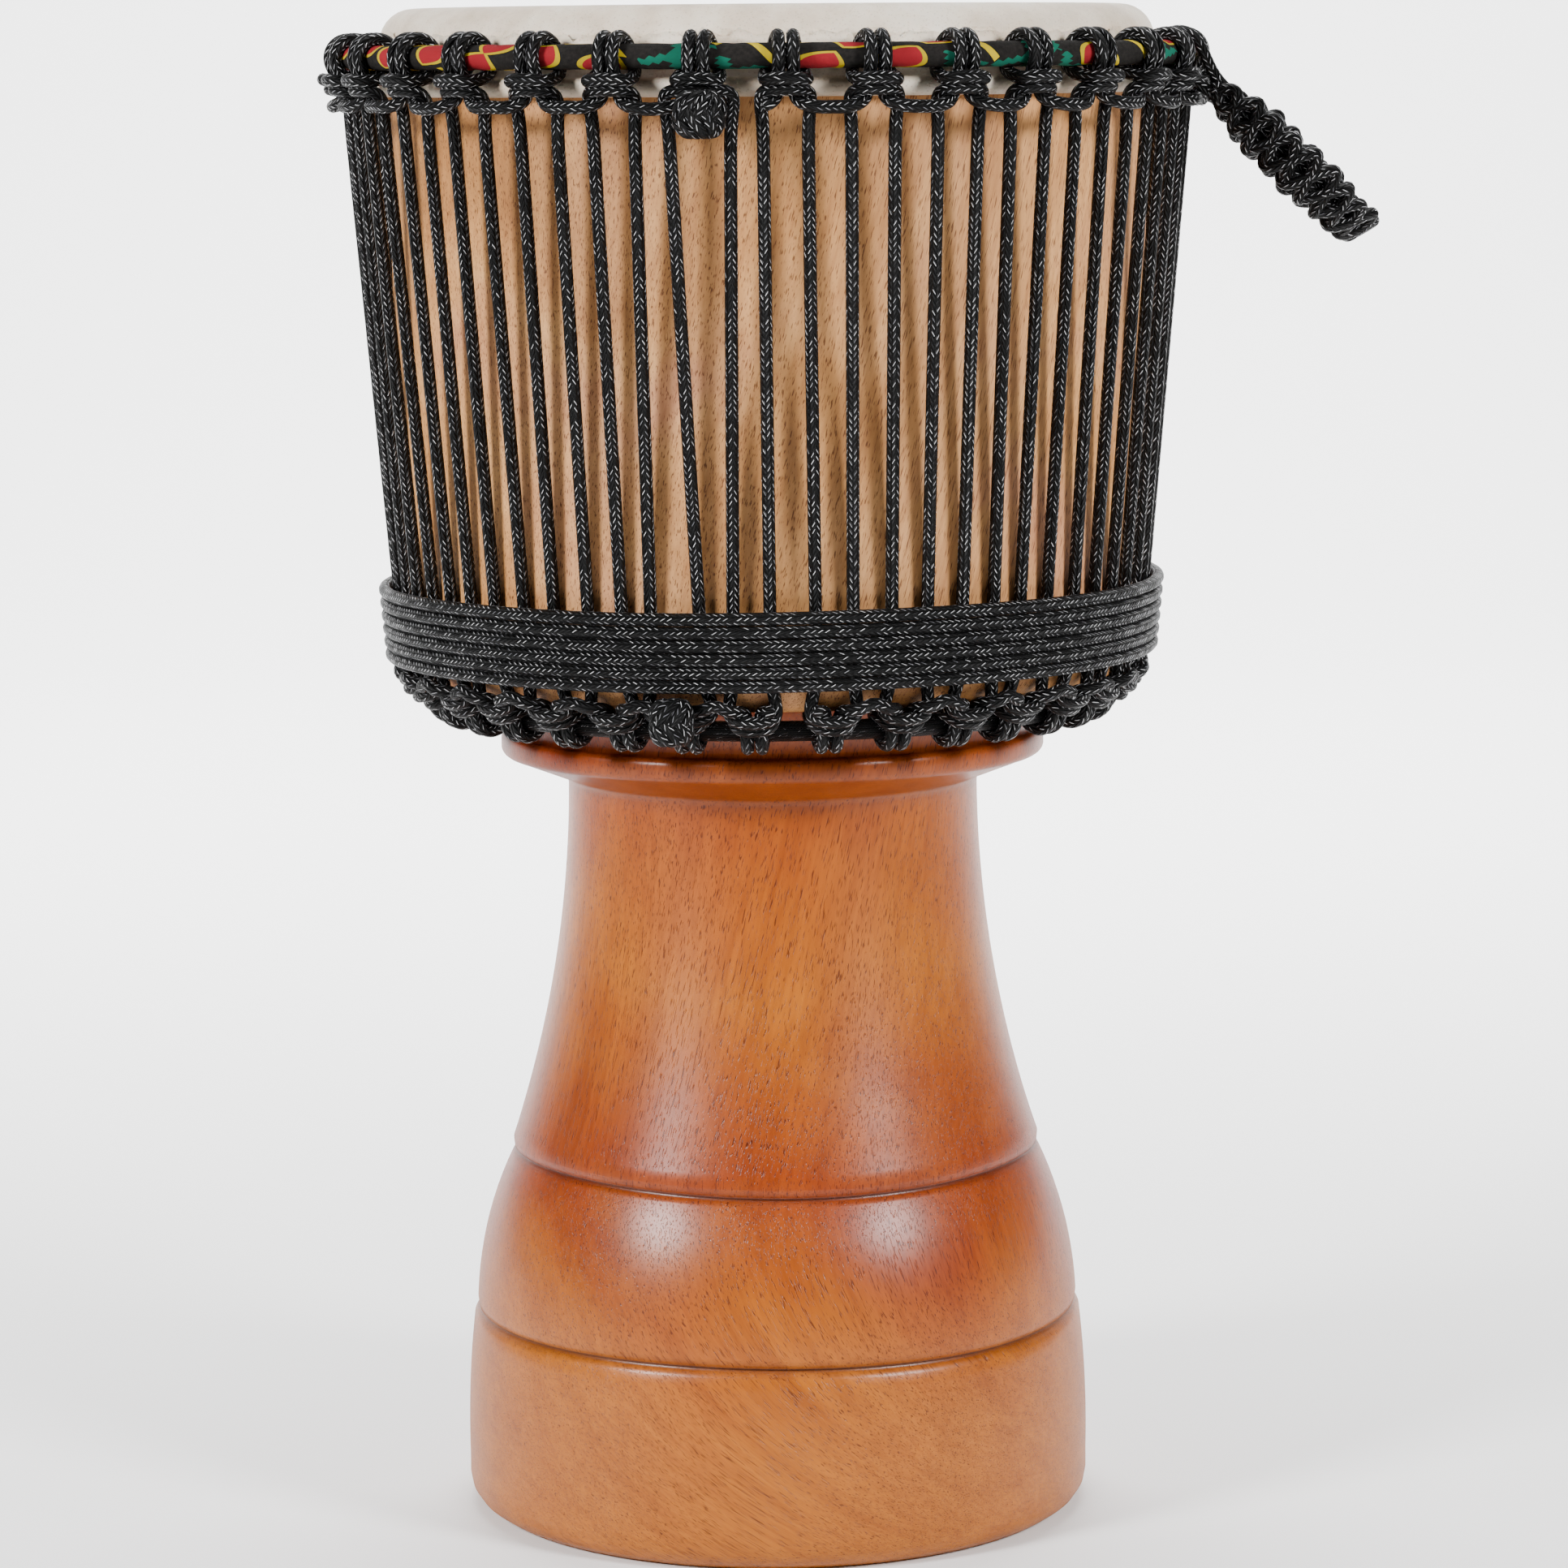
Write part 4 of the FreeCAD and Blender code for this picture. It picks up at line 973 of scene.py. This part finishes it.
def evenly(points, spacing):
    """Points every spacing millimetres along a line."""
    spots = [points[0]]
    left = spacing
    for start, end in zip(points, points[1:]):
        run = (end - start).length
        done = 0.0
        while run - done >= left:
            done += left
            spots.append(start.lerp(end, done / run))
            left = spacing
        left -= run - done
    return spots


def make_handle_braid(handle, braid):
    """Chunky knotted cover: four strands in two pairs that cross the core in turn, so
    knobs stand out along both edges; slimmer at the roots and at the tip."""
    draw = random.Random(3)
    spacing = 2.0
    lay = 38.0
    line = evenly(centre_line([handle.point(*place) for place in handle.strand(0.0)]), spacing)
    wander = [draw.uniform(0.86, 1.12) for knob in range(len(line))]
    for strand in range(4):
        pair, side = strand % 2, strand // 2
        route = []
        for index in range(1, len(line) - 1):
            way = (line[index + 1] - line[index - 1]).normalized()
            sideways = handle.across.cross(way).normalized()
            share = index / (len(line) - 1)
            angle = 2 * math.pi * index * spacing / lay
            middle = 1.0 - abs(2 * share - 1.0)
            girth = min(1.0, 0.20 + 3.0 * middle) * (1.0 - 0.38 * middle ** 5)
            height = (9.4 - 1.9 * side) * girth * wander[int(index * 4 / lay)]
            weave = height * math.cos(2 * angle + math.pi * pair)
            swing = 6.2 * girth * math.cos(angle + math.pi * side + 0.5 * math.pi * pair)
            route.append(line[index] + handle.across * weave + sideways * swing)
        name = "handle_strand_%d" % (strand + 1)
        finish_piece(name, curve_mesh(route, ROPE, False, 3), braid, "carry_handle",
                     ["handle_cover_cord"])


# ---------------------------------------------------------------- scene

def backdrop_outline():
    """Side view of the paper sweep: flat floor, a wide curve, then a wall."""
    flat = [(-1.3, 0.0), (3.0, 0.0)]
    curve = [(3.0 + 2.5 * math.sin(turn * math.pi / 24), 2.5 - 2.5 * math.cos(turn * math.pi / 24))
             for turn in range(1, 13)]
    return flat + curve + [(5.5, 7.0)]


def make_backdrop():
    """White paper sweep, so floor and background run into each other."""
    form = bmesh.new()
    rows = [[form.verts.new((side, depth, height)) for side in (-9.0, 9.0)]
            for depth, height in backdrop_outline()]
    for near, far in zip(rows, rows[1:]):
        form.faces.new((near[0], near[1], far[1], far[0]))
    mesh = bpy.data.meshes.new("paper_sweep")
    form.to_mesh(mesh)
    form.free()
    for face in mesh.polygons:
        face.use_smooth = True
    sweep = bpy.data.objects.new("paper_sweep", mesh)
    bpy.context.scene.collection.objects.link(sweep)
    # white background paper, matt
    paper, tree, shader = new_material("white_paper")
    shader.inputs["Base Color"].default_value = linear("f0f0f0")
    shader.inputs["Roughness"].default_value = 0.9
    shader.inputs["Specular IOR Level"].default_value = 0.1
    mesh.materials.append(paper)


def add_softbox(name, place, size, power, aim):
    """Round soft light at a place, turned to an aim."""
    lamp = bpy.data.lights.new(name, "AREA")
    lamp.shape = "DISK"
    lamp.size = size
    lamp.energy = power
    light = bpy.data.objects.new(name, lamp)
    bpy.context.scene.collection.objects.link(light)
    turn = (Vector(aim) - Vector(place)).to_track_quat("-Z", "Y").to_matrix().to_4x4()
    light.matrix_world = Matrix.Translation(place) @ turn


def make_surroundings():
    """The rest of the room: white to look at, but it gives only a little light."""
    world = bpy.data.worlds.new("studio")
    world.use_nodes = True
    tree = world.node_tree
    tree.nodes.clear()
    seen = add(tree, "ShaderNodeLightPath").outputs["Is Camera Ray"]
    strength = math_node(tree, "MULTIPLY_ADD", seen, 1.6, 0.08)
    light = add(tree, "ShaderNodeBackground", {"Color": linear("ffffff"), "Strength": strength})
    add(tree, "ShaderNodeOutputWorld", {"Surface": light.outputs[0]})
    bpy.context.scene.world = world


def make_studio():
    """White sweep, two soft side lights, a weak top light and light on the paper."""
    make_backdrop()
    add_softbox("left_softbox", (-1.55, -1.30, 1.22), 0.60, 80.0, (0, 0, 0.34))
    add_softbox("right_softbox", (1.50, -1.25, 1.22), 0.60, 64.0, (0, 0, 0.34))
    add_softbox("top_softbox", (0.1, -0.9, 2.0), 0.9, 3.0, (0, 0, 0.4))
    add_softbox("paper_light", (0.0, 1.6, 3.2), 2.5, 760.0, (0, 4.6, 1.0))
    make_surroundings()


def make_camera():
    """Long lens, a little above the drum's collar, looking slightly down."""
    lens = bpy.data.cameras.new("camera")
    lens.sensor_width = 36.0
    lens.lens = 122.98
    camera = bpy.data.objects.new("camera", lens)
    bpy.context.scene.collection.objects.link(camera)
    pitch = Matrix.Rotation(math.radians(90.0 - 7.816), 4, "X")
    roll = Matrix.Rotation(math.radians(-0.45), 4, "Z")
    camera.matrix_world = Matrix.Translation((0.0045, -2.130, 0.5834)) @ pitch @ roll
    bpy.context.scene.camera = camera


# the last two numbers give the share and the width of the painted highlights on each braid
braid = braided_polyester("braided_polyester", 2.6, 8, 0.7, 0.085)
fine_braid = braided_polyester("fine_braided_sleeve", 1.2, 28, 0.15, 0.08)
steel = welded_steel()
make_shell(mahogany())
make_head(goat_skin())
make_ring_cover("crown_cloth_wrap", TOP, printed_cotton(), "crown_ring_cloth", 44)
make_ring_cover("bottom_braid_sleeve", BOTTOM, fine_braid, "bottom_ring_sleeve", 0)
for hidden in ("flesh_hoop", "crown_ring", "bottom_ring"):
    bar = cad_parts[hidden]
    bar.data.materials.clear()
    bar.data.materials.append(steel)
make_ropes(braid)
make_knots(braid)
make_handle(braid)
make_studio()
make_camera()
